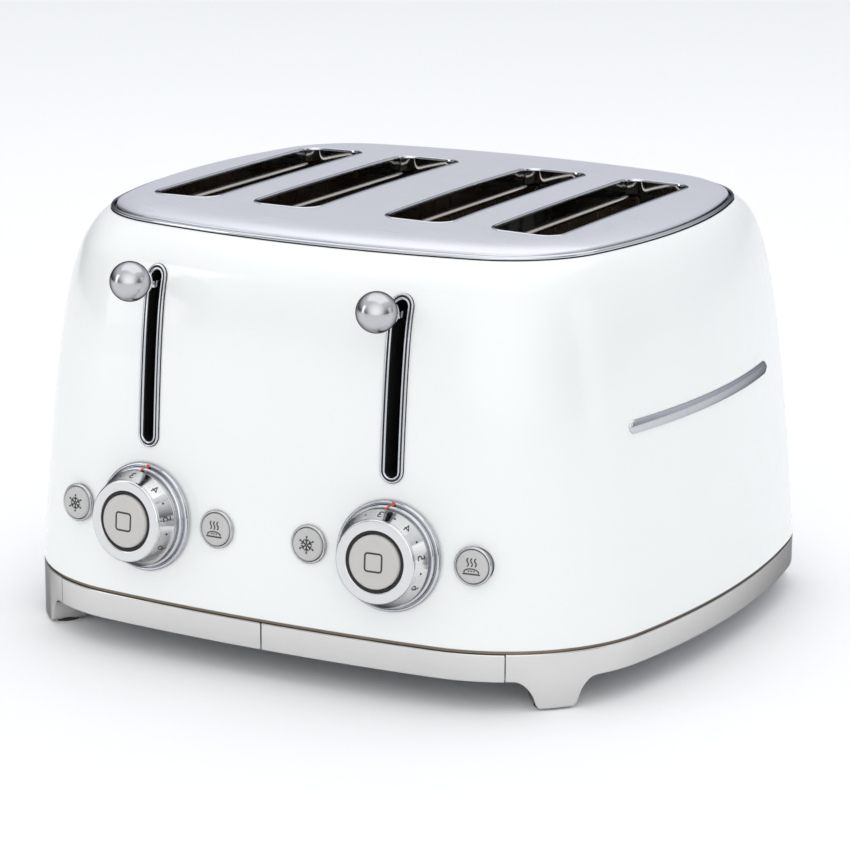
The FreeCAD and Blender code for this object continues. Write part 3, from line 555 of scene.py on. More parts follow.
# %% [markdown]
# ## Where the controls sit
# Each dial and button stands square to the curved front. The joints of the frame already hold
# a point and an outward direction for each, so a matrix built from those carries a control
# modelled about its own Z axis straight into place.


# %% Control places
def standing(point, outward):
    """Matrix whose Z points outward and whose Y points up."""
    up = Vector((0, 0, 1))
    across = up.cross(outward).normalized()
    upright = outward.cross(across)
    turn = Matrix((across, upright, outward)).transposed().to_4x4()
    return Matrix.Translation(point) @ turn


def dial_place(side):
    """Place of a dial, from the joint that it turns on."""
    joint = joints[side + "_dial_turn"]
    return standing(Vector(joint["pos_m"]) / MM, Vector(joint["axis"]))


def key_place(side, use):
    """Place of a key: beside its dial on the surface, facing against the way it is pressed."""
    dial = dial_at[side].translation
    x = dial.x + (-BUTTON_REACH if use == "defrost" else BUTTON_REACH)
    outward = -Vector(joints["%s_%s_press" % (side, use)]["axis"])
    return standing(Vector((x, front_y(x, dial.z) + KEY_SEAT, dial.z)), outward)


BUTTON_REACH = 42.0
SIDES = ("left", "right")
dial_at = {side: dial_place(side) for side in SIDES}
seat = dial_at["right"].translation
KEY_SEAT = seat.y - front_y(seat.x, seat.z)
button_at = {(side, use): key_place(side, use) for side in SIDES for use in ("defrost", "bagel")}
print("surface is %.2f mm from the dials' joints" % KEY_SEAT)
BEZEL_SLEEVE_R = 25.3
BUTTON_SLEEVE_R = 8.8
lever_x = {side: sum(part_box(side + "_lever_ball")[k].x for k in (0, 1)) / 2 / MM for side in SIDES}
print("levers at x =", [round(lever_x[side], 1) for side in SIDES])

# %% [markdown]
# ## The casing
# One closed skin: up the outside, over a rolled top edge, down the inside 1.5 mm away and back
# under a rolled bottom edge. The rolled edges are what give the thin highlight above the base
# band and below the top rim.

# %% Casing
SHELL_WALL = 1.5
ROLL = 0.7


def shell_heights(z0, z1, count):
    """Heights from z0 to z1, closer together near the shoulder."""
    return [z0 + (z1 - z0) * (1 - (1 - k / count) ** 1.35) for k in range(count + 1)]


rings = [casing_ring(z, 0.0) for z in shell_heights(SHELL_Z0 + ROLL, SHELL_TOP - ROLL, 64)]
for step in range(1, 5):
    a = math.pi / 2 * step / 4
    rings.append(casing_ring(SHELL_TOP - ROLL * (1 - math.sin(a)), ROLL * (1 - math.cos(a))))
for step in range(5):
    a = math.pi / 2 * (1 - step / 4)
    rings.append(casing_ring(SHELL_TOP - ROLL * (1 - math.sin(a)),
                             SHELL_WALL - ROLL * (1 - math.cos(a))))
rings += [casing_ring(z, SHELL_WALL)
          for z in reversed(shell_heights(SHELL_Z0 + ROLL, SHELL_TOP - ROLL, 64)[:-1])]
for step in range(1, 4):
    a = math.pi / 2 * step / 4
    rings.append(casing_ring(SHELL_Z0 + ROLL * (1 - math.sin(a)),
                             SHELL_WALL - ROLL * (1 - math.cos(a))))
for step in range(4):
    a = math.pi / 2 * (1 - step / 4)
    rings.append(casing_ring(SHELL_Z0 + ROLL * (1 - math.sin(a)), ROLL * (1 - math.cos(a))))
casing = piece("casing_skin", loft(rings, along=True), "root", enamel,
               stands_for=["body_shell"], sharp=60)

TRIM_Z0, TRIM_Z1 = 104.0, 192.0
TRIM_HALF = 6.0
HOLE_REACH = 14.0
cutters = [slot_prism(lever_x[side], TRIM_HALF - 1.0, TRIM_Z0 + 1.0, TRIM_Z1 - 1.0,
                      -HALF_D - 10, -HALF_D + 70) for side in SIDES]
places = [(dial_at[side], BEZEL_SLEEVE_R) for side in SIDES]
places += [(place_of, BUTTON_SLEEVE_R) for place_of in button_at.values()]
cutters += [round_prism(place_of, hole_r, -HOLE_REACH, HOLE_REACH) for place_of, hole_r in places]
gland_low, gland_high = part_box("cable_gland")
gland_centre = (gland_low + gland_high) / 2 / MM
gland_turn = Matrix.Translation(gland_centre) @ Matrix.Rotation(math.pi / 2, 4, "X")
GLAND_HOLE_R = 8.1
cutters.append(round_prism(gland_turn, GLAND_HOLE_R, -30, 30))
pierce(casing, cutters)

# %% [markdown]
# ## Top rim
# A thin polished bead stands between the enamel and the steel top. Dark grooves on both sides
# set it off, so it is a separate half-round ring with a foot, not a line painted on. The groove
# between the bead and the panel is filled by a black ring, a painted shadow.

# %% Top rim
RIM_SECTION = [(1.7, 203.9), (1.7, 206.1), (1.1, 206.5, 0.3), (1.1, 207.4, 0.7),
               (2.0, 208.3, 0.9), (2.9, 207.5, 0.7), (2.9, 205.4), (9.8, 205.4), (9.8, 204.1)]
# Black ring in the groove between the bead and the panel: painted shadow.
SHADOW_RING_SECTION = [(3.0, 205.45), (3.0, 206.5), (4.7, 206.5), (4.7, 205.45)]


def section_sweep(section):
    """A closed (inset, height) section carried round the top of the casing's plan."""
    return loft([casing_ring(SHELL_TOP, inset, at_z=z) for inset, z in section], along=True)


piece("polished_top_bead", section_sweep(rounded(RIM_SECTION, 0.15, closed=True)), "root",
      chrome, stands_for=["top_rim"])
piece("top_panel_shadow_ring", section_sweep(rounded(SHADOW_RING_SECTION, 0.2, closed=True)), "root",
      shadow_black)

# %% [markdown]
# ## Top panel
# The panel is one pressed sheet: a tight roll at its edge, then a shallow dome. Four slots are
# pierced in it and their edges are turned down. The dome is lofted through scaled copies of the
# plan, and the finished surface is then asked for its height wherever a lip has to follow it.

# %% Top panel skin
PANEL_INSET = 4.0
EDGE_SECTION = [(0.7, 206.6), (0.1, 207.2), (0.0, 207.9), (0.35, 208.6), (1.1, 209.2),
                (2.4, 209.8), (4.4, 210.5), (7.0, 211.15), (10.4, 211.7), (15.0, 212.15)]
DOME_RISE = 1.8
DOME_STEPS = [0.9, 0.8, 0.7, 0.6, 0.5, 0.4, 0.3, 0.2, 0.1]
PANEL_THICK = 1.5


def scaled_ring(scale, z):
    """The panel's plan, inset for its roll and then scaled about the middle."""
    ring = casing_ring(SHELL_TOP, PANEL_INSET + EDGE_SECTION[-1][0], at_z=z)
    return [Vector((p.x * scale, (p.y - MIDDLE_Y) * scale + MIDDLE_Y, z)) for p in ring]


def panel_rings(drop):
    """The panel's upper surface, moved down by drop."""
    rings = [casing_ring(SHELL_TOP, PANEL_INSET + inset + 0.35 * drop,
                         at_z=z - drop * min(k, 3) / 3)
             for k, (inset, z) in enumerate(EDGE_SECTION)]
    top = EDGE_SECTION[-1][1]
    rings += [scaled_ring(s, top + DOME_RISE * (1 - s * s) - drop) for s in DOME_STEPS]
    return rings


def panel_sheet():
    """Both faces of the panel with a closed edge and closed middle."""
    upper = panel_rings(0.0)
    lower = panel_rings(PANEL_THICK)
    skin, faces = loft(list(reversed(upper)) + lower)
    n = len(upper[0])
    middle_z = EDGE_SECTION[-1][1] + DOME_RISE
    top_middle, low_middle = len(skin), len(skin) + 1
    skin = skin + [Vector((0, MIDDLE_Y, middle_z)), Vector((0, MIDDLE_Y, middle_z - PANEL_THICK))]
    last = (len(upper) + len(lower) - 1) * n
    faces += [(top_middle, (k + 1) % n, k) for k in range(n)]
    faces += [(low_middle, last + k, last + (k + 1) % n) for k in range(n)]
    return skin, faces


panel = piece("steel_top_panel", panel_sheet(), "root", panel_steel,
              stands_for=["top_panel"], sharp=60)
panel_tree = BVHTree.FromObject(panel, bpy.context.evaluated_depsgraph_get())


def panel_top(x, y):
    """Height of the panel's upper surface."""
    hit = panel_tree.ray_cast(Vector((x, y, 400)) * MM, Vector((0, 0, -1)))[0]
    return hit.z / MM


print("panel: %.1f mm at its middle, %.1f at its edge" % (panel_top(0, MIDDLE_Y),
                                                          panel_top(0, MIDDLE_Y - 120)))

# %% [markdown]
# ## Bread slots
# Each slot is 36 mm wide with 9 mm corners. Its edge is rolled up slightly and turned down into
# the toaster, which is the bright line round each opening. The roll is its own ring, swept
# round the slot and lifted everywhere to the height of the dome.

# %% Slots and their rolled lips
SLOT_HALF_W = 18.0
SLOT_Y0, SLOT_Y1 = -80.0 + MIDDLE_Y, 75.0 + MIDDLE_Y
SLOT_CORNER = 9.0
LIP_Z = 205.5
slot_x = []
for number in (1, 2, 3, 4):
    opening = next(o for o in frame["record"]["physics"]["openings"]
                   if o["name"] == "bread_slot_%d" % number)
    slot_x.append((opening["box_m"][0][0] + opening["box_m"][1][0]) / 2 / MM)


def slot_ring(x, grow, corner_steps=8, side_steps=14):
    """Rounded-rectangle outline of a slot as (x, y), grown outwards."""
    r = SLOT_CORNER + grow
    half_w, y0, y1 = SLOT_HALF_W + grow, SLOT_Y0 - grow, SLOT_Y1 + grow
    corners = [(half_w - r, y1 - r, 0.0), (r - half_w, y1 - r, 0.5),
               (r - half_w, y0 + r, 1.0), (half_w - r, y0 + r, 1.5)]
    points = []
    for k, (cx, cy, quarter) in enumerate(corners):
        for j in range(corner_steps + 1):
            a = math.pi * (quarter + 0.5 * j / corner_steps)
            points.append(Vector((x + cx + r * math.cos(a), cy + r * math.sin(a))))
        after_x, after_y, after_quarter = corners[(k + 1) % 4]
        a = math.pi * after_quarter
        end = Vector((x + after_x + r * math.cos(a), after_y + r * math.sin(a)))
        here = points[-1].copy()
        points += [here.lerp(end, j / side_steps) for j in range(1, side_steps)]
    return points


LIP_SECTION = [(1.0, -0.5), (1.0, 0.02), (0.7, 0.25), (0.35, 0.4), (0.0, 0.42), (-0.3, 0.25),
               (-0.45, -0.1), (-0.5, -1.2)]


def slot_lip(x):
    """Rolled edge of one slot, turned down to a level hem."""
    rings = []
    for grow, rise in LIP_SECTION:
        rings.append([Vector((p.x, p.y, panel_top(*slot_ring(x, 1.0)[k]) + rise))
                      for k, p in enumerate(slot_ring(x, grow))])
    rings.append([Vector((p.x, p.y, LIP_Z)) for p in slot_ring(x, -0.5)])
    rings.append([Vector((p.x, p.y, LIP_Z - 0.12)) for p in slot_ring(x, -0.3)])
    rings.append([Vector((p.x, p.y, LIP_Z)) for p in slot_ring(x, -0.05)])
    rings.append([Vector((p.x, p.y, LIP_Z + 0.9)) for p in slot_ring(x, 0.0)])
    return loft(rings, along=True)


pierce(panel, [capped([[Vector((p.x, p.y, z)) for p in slot_ring(x, 0.2)] for z in (198, 222)])
               for x in slot_x])
piece("rolled_slot_lips", joined([slot_lip(x) for x in slot_x]), "root", chrome,
      sharp=50)

# %% [markdown]
# ## Base band and feet
# The band is a bright sheet ring with four feet drawn out of its corners. Its lower edge is
# level along each side and drops in a hollow curve to each foot, so the sweep round the plan
# simply lets the bottom of its section go down there and its thickness grow.

# %% Base band
band_low, band_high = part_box("base_band")
BAND_TOP = band_high.z / MM
BAND_Z0 = 14.5
FOOT_Z0 = band_low.z / MM
BAND_WALL = 4.0
FOOT_DEPTH = 18.0
FOOT_HALF_TOP, FOOT_HALF_FLOOR = 21.0, 9.0
MOUTH_HALF = 124.3
FOOT_TOWARDS = [Vector((sx * 144.0, sy * 132.0)).normalized() for sx in (-1, 1) for sy in (-1, 1)]


def across_foot(x, y):
    """Distance sideways from the nearest foot's middle line."""
    spot = Vector((x, y - MIDDLE_Y))
    best = max(FOOT_TOWARDS, key=lambda towards: towards.dot(spot))
    return abs(best.x * spot.y - best.y * spot.x)


def foot_bottom(across):
    """Lower edge of the band: a rounded toe, a waist and a hollow flare."""
    toe, waist = FOOT_HALF_FLOOR, FOOT_HALF_FLOOR + 2.5
    if across <= toe - 1.2:
        return FOOT_Z0
    if across <= waist:
        t = (across - toe + 1.2) / (waist - toe + 1.2)
        return FOOT_Z0 + 6.0 * t ** 2.6
    t = min((across - waist) / (FOOT_HALF_TOP - waist), 1.0)
    return FOOT_Z0 + 6.0 + (BAND_Z0 - FOOT_Z0 - 6.0) * (1 - (1 - t) ** 2.2)


def band_station(spot, outward):
    """The band's section at one place on the plan."""
    across = across_foot(spot.x, spot.y)
    bottom = foot_bottom(across)
    share = min(max((FOOT_HALF_TOP - across) / (FOOT_HALF_TOP - FOOT_HALF_FLOOR - 2.5), 0), 1)
    depth = BAND_WALL + (FOOT_DEPTH - BAND_WALL) * share ** 0.7
    section = [(0.0, BAND_TOP, 0.6), (0.0, bottom, 0.8), (depth, bottom, 0.8),
               (depth, BAND_Z0 + 0.4, 0.3), (BAND_WALL, BAND_Z0 + 1.0, 0.3),
               (BAND_WALL, BAND_TOP, 0.3)]
    return [Vector((spot.x - outward.x * inset, spot.y - outward.y * inset, z))
            for inset, z in rounded(section, 0.5, closed=True)]


# %% Stations round the base plan
def base_stations():
    """(point, outward) round the base plan, counter-clockwise from the middle of the front."""
    plan = outline(HALF_W, HALF_D, *BASE_PLAN, 90)
    stations = [(Vector((x, y + MIDDLE_Y)), Vector((nx, ny))) for x, y, nx, ny in plan]
    first = min(range(len(stations)),
                key=lambda k: abs(stations[k][0].x) + (1e3 if stations[k][0].y > 0 else 0))
    return stations[first:] + stations[:first]


def front_station(stations, x):
    """Station on the right half of the front at exactly x."""
    for (a, na), (b, nb) in zip(stations, stations[1:]):
        if a.x <= x <= b.x:
            t = (x - a.x) / (b.x - a.x)
            return a.lerp(b, t), na.lerp(nb, t).normalized()


def mirror(station):
    """A station on the other half."""
    spot, outward = station
    return Vector((-spot.x, spot.y)), Vector((-outward.x, outward.y))


stations = base_stations()
mouth = front_station(stations, MOUTH_HALF)
outside = [station for station in stations
           if abs(station[0].x) > MOUTH_HALF or station[0].y > 0]
outside = [mouth] + outside + [mirror(mouth)]
piece("base_band_skin", capped([band_station(*station) for station in outside]), "root",
      band_steel, stands_for=["base_band"], sharp=40)

# %% [markdown]
# ## Crumb trays
# The front of the band between the feet is two tray fronts that meet at the middle. Each edge
# is broken by a small chamfer, which is why the seam shows as a fine light line. Behind each
# front a shallow folded pan runs to the back, and it comes out with the front.

# %% Crumb trays
TRAY_X0, TRAY_X1 = 0.3, 124.0
TRAY_WALL = 3.0
TRAY_GAP = 0.2
CHAMFER = 0.35
PAN_Z0, PAN_Z1 = 16.5, 24.5
PAN_SHEET = 1.0


def tray_front(sign):
    """A piece of the band with chamfered ends."""
    ends = [front_station(stations, x)
            for x in (TRAY_X0, TRAY_X0 + CHAMFER, TRAY_X1 - CHAMFER, TRAY_X1)]
    middle = [s for s in stations if TRAY_X0 + 0.5 < s[0].x < TRAY_X1 - 0.5 and s[0].y < 0]
    run = ends[:2] + middle + ends[2:]
    rings = []
    for k, (spot, outward) in enumerate(run):
        cut = CHAMFER if k in (0, len(run) - 1) else 0.0
        low, high = BAND_Z0 + cut, BAND_TOP - TRAY_GAP - cut
        section = [(cut, high, 0.5), (cut, low, 0.5), (TRAY_WALL - cut, low, 0.5),
                   (TRAY_WALL - cut, high, 0.5)]
        rings.append([Vector((sign * (spot.x - outward.x * inset), spot.y - outward.y * inset, z))
                      for inset, z in rounded(section, 0.5, closed=True)])
    return capped(rings)


def tray_pan(sign):
    """Folded sheet pan behind the front."""
    x0, x1 = 3.0, 121.0
    y0, y1 = MIDDLE_Y - HALF_D + 12.0, 118.0 + MIDDLE_Y
    rings = []
    for shrink, z in ((2.0, PAN_Z0), (0.4, PAN_Z0 + 0.3), (0.0, PAN_Z0 + 1.6), (0.0, PAN_Z1 - 0.3),
                      (0.3, PAN_Z1), (PAN_SHEET - 0.3, PAN_Z1), (PAN_SHEET, PAN_Z1 - 0.3),
                      (PAN_SHEET, PAN_Z0 + 2.4), (PAN_SHEET + 1.4, PAN_Z0 + PAN_SHEET)):
        corners = [(x0 + shrink, y0 + shrink), (x1 - shrink, y0 + shrink),
                   (x1 - shrink, y1 - shrink), (x0 + shrink, y1 - shrink)]
        rings.append([Vector((sign * p.x, p.y, z)) for p in rounded(corners, 3.0, closed=True)])
    return capped(rings)


for side, sign in (("left", -1), ("right", 1)):
    piece(side + "_tray_front", tray_front(sign), side + "_tray", band_steel,
          stands_for=[side + "_crumb_tray"], sharp=40)
    piece(side + "_tray_pan", tray_pan(sign), side + "_tray", zinc_steel)

# %% [markdown]
# ## Lever slots
# A bright moulded trim lines each lever slot. It has two lips with a groove between them and
# then turns into the casing. Its section is swept round the slot's stadium outline, and each
# point is pushed out along the casing's own surface direction, so the trim follows both curves
# of the front. Black pieces in the groove, in a thin line round the trim's outer edge and in a
# sleeve behind the opening are painted shadow.

# %% Lever slot trims
OPENING_HALF = 3.1
TRIM_SECTION = [(5.7, 0.3), (5.9, 0.7), (5.75, 1.2), (5.35, 1.4), (4.95, 1.2), (4.85, 0.2),
                (4.3, 0.2), (4.2, 1.1), (3.85, 1.5), (3.4, 1.3), (OPENING_HALF, 0.8),
                (OPENING_HALF, -5.4), (4.9, -5.4), (4.9, -0.4), (5.6, -0.3)]
# Black line round the trim's edge, black fill in the groove and black sleeve behind the opening: painted shadow.
TRIM_EDGE_SHADOW = [(5.3, -0.2), (6.05, -0.2), (6.05, 0.32), (5.3, 0.32)]
GROOVE_SHADOW = [(4.25, 0.1), (4.9, 0.1), (4.9, 0.75), (4.25, 0.75)]
SLOT_SHADOW_SLEEVE = [(3.0, 0.2), (3.0, -16.0), (3.6, -16.0), (3.6, -5.6), (3.15, -5.6), (3.15, 0.2)]


def on_front(x, z, height):
    """Point proud of the casing's front surface, or straight behind it for a negative height."""
    proud = front_normal(x, z) * max(height, 0.0)
    return Vector((x, front_y(x, z) - min(height, 0.0), z)) + proud


def trim_path(end_steps=12, side_steps=22):
    """Round a slot's middle line: (offset direction x, z, height of the middle line)."""
    top, bottom = TRIM_Z1 - TRIM_HALF, TRIM_Z0 + TRIM_HALF
    path = [(math.cos(math.pi * k / end_steps), math.sin(math.pi * k / end_steps), top)
            for k in range(end_steps + 1)]
    path += [(-1.0, 0.0, top + (bottom - top) * k / side_steps) for k in range(1, side_steps)]
    path += [(-math.cos(math.pi * k / end_steps), -math.sin(math.pi * k / end_steps), bottom)
             for k in range(end_steps + 1)]
    path += [(1.0, 0.0, bottom + (top - bottom) * k / side_steps) for k in range(1, side_steps)]
    return path


def swept_trim(x, section):
    """A section of (offset, height) carried round one slot."""
    rings = []
    for offset, height in section:
        rings.append([on_front(x + dx * offset, z + dz * offset, height)
                      for dx, dz, z in trim_path()])
    return loft(rings, along=True)


for side in SIDES:
    trim = swept_trim(lever_x[side], rounded(TRIM_SECTION, 0.18, closed=True, steps=2))
    piece(side + "_slot_trim", trim, "root", chrome,
          stands_for=[side + "_lever_trim"], sharp=45)
    shadow_pieces = [swept_trim(lever_x[side], section) for section in (TRIM_EDGE_SHADOW, GROOVE_SHADOW, SLOT_SHADOW_SLEEVE)]
    piece(side + "_slot_shadow_pieces", joined(shadow_pieces), "root", shadow_black)

# %% [markdown]
# ## Lever knobs
# Each lever ends in a solid ball with a satin chrome finish. A small stepped collar sits behind
# it on a polished neck. The ball and collar are lathe profiles, stood on the line from the
# slot to the ball, which rises slightly.

# %% Lever knobs
BALL_R = 9.7
NECK_ROOT = Vector((0.0, -147.0 + MIDDLE_Y, 183.5))
NECK_R = 1.45
FLAT_R = 4.8
# Collar profile as radius and distance behind the ball's back face.
COLLAR_SECTION = [(NECK_R, 0.0), (4.9, 0.0), (6.0, 0.4), (6.3, 0.9), (5.9, 1.5), (4.6, 1.7),
                  (3.9, 1.9), (3.7, 2.4), (3.0, 2.9), (NECK_R, 2.9)]
COLLAR_SUNK = 0.6


def half_circle(radius, stop, steps=36):
    """Ball profile from the front pole to the flat at its back."""
    points = []
    for k in range(steps + 1):
        a = (math.pi - stop) * k / steps
        points.append((radius * math.sin(a), -radius * math.cos(a)))
    return points


def closed_turn(section, segments=96):
    """A section that starts and ends on the axis, spun and welded there."""
    rings = []
    for k in range(segments):
        a = 2 * math.pi * k / segments
        rings.append([Vector((r * math.cos(a), r * math.sin(a), z)) for r, z in section])
    return loft(rings, around=False, along=True)


for side in SIDES:
    low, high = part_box(side + "_lever_ball")
    centre = Vector((lever_x[side], (low.y / MM) + BALL_R, (low.z + high.z) / 2 / MM))
    root_point = Vector((lever_x[side], NECK_ROOT.y, NECK_ROOT.z))
    back = (root_point - centre).normalized()
    axis = standing(centre, back)
    flat = math.asin(FLAT_R / BALL_R)
    ball_profile = half_circle(BALL_R, flat) + [(0.0, BALL_R * math.cos(flat) - 0.05)]
    piece(side + "_ball_knob", moved(closed_turn(ball_profile), axis), side + "_carriage",
          knob_chrome, stands_for=[side + "_lever_ball"])
    collar = [(r, BALL_R - COLLAR_SUNK + z) for r, z in COLLAR_SECTION]
    piece(side + "_knob_collar", moved(turned(rounded(collar, 0.3, closed=True)), axis),
          side + "_carriage", chrome, stands_for=[side + "_lever_collar"])

# %% [markdown]
# ## Dials
# Each browning control is a stack: a stepped chrome bezel on the casing, a conical dial with a
# flat bright front ring, and a push button in its middle. All three are lathe sections with
# small radii on each corner, because those radii carry the concentric highlights.

# %% Dial bezels
BEZEL_BORE = 17.2
BEZEL_SECTION = [(BEZEL_BORE, -9.0), (25.15, -9.0), (25.15, 0.75), (26.6, 0.85), (26.6, 2.0, 0.7),
                 (26.0, 3.0, 0.5), (25.3, 3.0, 0.3), (25.0, 2.3, 0.1), (24.7, 2.3, 0.1),
                 (24.5, 4.6, 0.6), (23.8, 5.2, 0.4), (23.3, 5.2, 0.2), (23.1, 4.7, 0.1),
                 (22.8, 4.7, 0.1), (22.6, 6.5, 0.4), (21.9, 7.0, 0.3), (BEZEL_BORE, 7.0)]
BUTTON_R = 7.9
SMALL_BEZEL = [(BUTTON_R + 0.1, -6.0), (8.65, -6.0), (8.65, 0.25), (9.35, 0.3), (9.35, 1.3, 0.4),
               (8.9, 1.9, 0.4), (8.5, 1.95, 0.3), (BUTTON_R + 0.1, 1.3, 0.15)]
for side in SIDES:
    bezel = moved(turned(rounded(BEZEL_SECTION, 0.25, closed=True), 128), dial_at[side])
    piece(side + "_chrome_bezel", bezel, "root", chrome,
          stands_for=[side + "_dial_bezel"])
small = [moved(turned(rounded(SMALL_BEZEL, 0.2, closed=True), 64), place_of)
         for place_of in button_at.values()]
piece("small_button_rings", joined(small), "root", ring_chrome,
      stands_for=["function_bezels"])

# %% Dials and centre buttons
CENTRE_R = 12.9
SKIRT_R, SKIRT_Z = 23.4, 8.2
DIAL_R, DIAL_RISE = 20.0, 15.6
DIAL_FACE = 17.0
DIAL_SECTION = [(13.35, -12.0), (17.1, -12.0), (17.1, 7.4), (SKIRT_R - 0.2, 7.4, 0.2),
                (SKIRT_R, SKIRT_Z, 0.5), (DIAL_R + 0.1, DIAL_RISE, 0.4), (DIAL_R, 16.4, 0.3),
                (DIAL_R - 0.5, DIAL_FACE, 0.4), (14.9, DIAL_FACE, 0.3), (14.5, 16.2, 0.2),
                (13.35, 16.2, 0.1)]
# Black ring in the gap between the dial's front ring and the centre button: painted shadow.
RING_SHADOW = [(13.4, 15.9), (14.6, 15.9), (14.6, 16.55), (13.4, 16.55)]
CENTRE_SECTION = [(0, -11.0), (2.5, -11.0), (2.5, 8.0), (CENTRE_R, 8.0, 0.3),
                  (CENTRE_R, 17.1, 0.8), (12.2, 17.9, 0.6), (10.5, 18.2, 1.0),
                  (4.0, 18.12), (0, 18.1)]
CENTRE_TOP = 18.1
for side in SIDES:
    piece(side + "_dial_body", moved(turned(rounded(DIAL_SECTION, 0.25, closed=True), 128),
                                     dial_at[side]),
          side + "_dial", satin_chrome, stands_for=[side + "_dial"])
    piece(side + "_dial_shadow_ring", moved(turned(RING_SHADOW, 96), dial_at[side]), side + "_dial",
          shadow_black)
    centre = closed_turn(rounded(CENTRE_SECTION, 0.3))
    piece(side + "_stop_button", moved(centre, dial_at[side]), side + "_cancel_button",
          button_abs, stands_for=[side + "_cancel_button"])

# %% [markdown]
# ## Function buttons
# Four small round keys sit level with the dials. Each is slightly crowned, so the light rolls
# over it.

# %% Function buttons
for (side, use), place_of in button_at.items():
    low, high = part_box("%s_%s_button" % (side, use))
    tip = -(high.y / MM - place_of.translation.y) + 1.0
    key = [(0, tip), (1.8, tip), (1.8, -6.0), (7.3, -6.0), (7.3, -1.0), (BUTTON_R, -1.0),
           (BUTTON_R, 2.0, 0.5), (7.1, 2.7, 0.5), (5.0, 2.95, 0.8), (0, 3.05)]
    piece("%s_%s_key" % (side, use), moved(closed_turn(rounded(key, 0.2), 64), place_of),
          "%s_%s_button" % (side, use), pale_abs,
          stands_for=["%s_%s_button" % (side, use)])

# %% [markdown]
# ## Numbers and symbols
# The dial carries the numbers 1 to 6 and a small dot, printed on its conical skirt. The keys
# carry plain symbols: ice for defrosting, and warmth over a bun for one-sided toasting. All of
# it is drawn as thin raised ink. Strokes are flat ribbons with round ends, built from short
# capped slabs, and the figures come from Blender's own plain font.


# %% Ink strokes
def stroke(points, width, z0, z1, closed=False, cap_steps=5):
    """A flat ribbon of ink along 2-D points."""
    line = [Vector(p) for p in points]
    count = len(line)
    left, right = [], []
    for k, here in enumerate(line):
        before = line[k - 1] if (k or closed) else here
        after = line[(k + 1) % count] if (k < count - 1 or closed) else here
        along = (after - before).normalized()
        side = Vector((-along.y, along.x)) * width / 2
        left.append(here + side)
        right.append(here - side)
    if closed:
        rings = [[Vector((p.x, p.y, z)) for p in edge]
                 for edge, z in ((left, z0), (left, z1), (right, z1), (right, z0))]
        return loft(rings, along=True)
    outline_points = list(left)
    for end, first, second in ((line[-1], left[-1], right[-1]), (line[0], right[0], left[0])):
        start = math.atan2(first.y - end.y, first.x - end.x)
        outline_points += [end + Vector((math.cos(start - math.pi * j / cap_steps),
                                         math.sin(start - math.pi * j / cap_steps))) * width / 2
                           for j in range(1, cap_steps)]
        outline_points += list(reversed(right)) if end is line[-1] else []
    return capped([[Vector((p.x, p.y, z)) for p in outline_points] for z in (z0, z1)])


def disc(x, y, radius, z0, z1, segments=20):
    """A round dot of ink."""
    angles = [2 * math.pi * k / segments for k in range(segments)]
    return capped([[Vector((x + radius * math.cos(a), y + radius * math.sin(a), z))
                    for a in angles] for z in (z0, z1)])


# %% Key symbols
INK_TOP, INK_FOOT = 3.16, 2.7
SYMBOL_R = 4.1


def ice_symbol():
    """Six arms with side branches and a dot at each tip."""
    parts = []
    for k in range(6):
        a = math.pi * k / 3 + math.pi / 2
        arm = Vector((math.cos(a), math.sin(a)))
        parts.append(stroke([arm * 0.55, arm * 2.9], 0.62, INK_FOOT, INK_TOP))
        parts.append(disc(*(arm * SYMBOL_R * 0.94), 0.48, INK_FOOT, INK_TOP))
        for turn in (-0.9, 0.9):
            branch = Vector((math.cos(a + turn), math.sin(a + turn)))
            parts.append(stroke([arm * 1.75, arm * 1.75 + branch * 1.25], 0.5, INK_FOOT, INK_TOP))
    return joined(parts)


def warm_symbol():
    """Three rising waves over a flat bun on a line."""
    parts = []
    for x in (-1.9, 0.0, 1.9):
        wave = [(x + 0.42 * math.sin(2 * math.pi * t / 12), 0.4 + 3.6 * t / 12) for t in range(13)]
        parts.append(stroke(wave, 0.55, INK_FOOT, INK_TOP))
    bun = [(3.6 * math.cos(math.pi * t / 14), -2.5 + 1.7 * math.sin(math.pi * t / 14))
           for t in range(15)]
    parts.append(stroke(bun, 0.5, INK_FOOT, INK_TOP))
    parts.append(stroke([(-4.0, -3.3), (4.0, -3.3)], 0.62, INK_FOOT, INK_TOP))
    parts += [disc(x, -1.9, 0.36, INK_FOOT, INK_TOP, 12) for x in (-1.3, 0.0, 1.3)]
    return joined(parts)


SYMBOLS = {"defrost": ice_symbol(), "bagel": warm_symbol()}
for (side, use), place_of in button_at.items():
    piece("%s_%s_symbol" % (side, use), moved(SYMBOLS[use], place_of),
          "%s_%s_button" % (side, use), dark_ink, sharp=30)

# %% [markdown]
# ## Stop sign and dial figures
# A rounded square is the common sign for stopping a cycle. The figures are laid flat in front
# of the dial and then wrapped: across becomes an angle, and up becomes a distance along the
# cone, so they sit on the skirt like real pad printing.

# %% Stop sign
SIGN_HALF = 4.3
sign_line = rounded([(-SIGN_HALF, -SIGN_HALF), (SIGN_HALF, -SIGN_HALF), (SIGN_HALF, SIGN_HALF),
                     (-SIGN_HALF, SIGN_HALF)], 1.6, closed=True, steps=8)
for side in SIDES:
    sign = stroke(sign_line, 0.85, CENTRE_TOP - 0.3, CENTRE_TOP + 0.12, closed=True)
    piece(side + "_stop_sign", moved(sign, dial_at[side]), side + "_cancel_button", dark_ink,
          sharp=30)

# %% Dial figures
FIGURE_STEP = 40.0
FIGURE_HEIGHT = 4.4
INK_PROUD = 0.12
CONE_SLOPE = (DIAL_R - SKIRT_R) / (DIAL_RISE - SKIRT_Z)


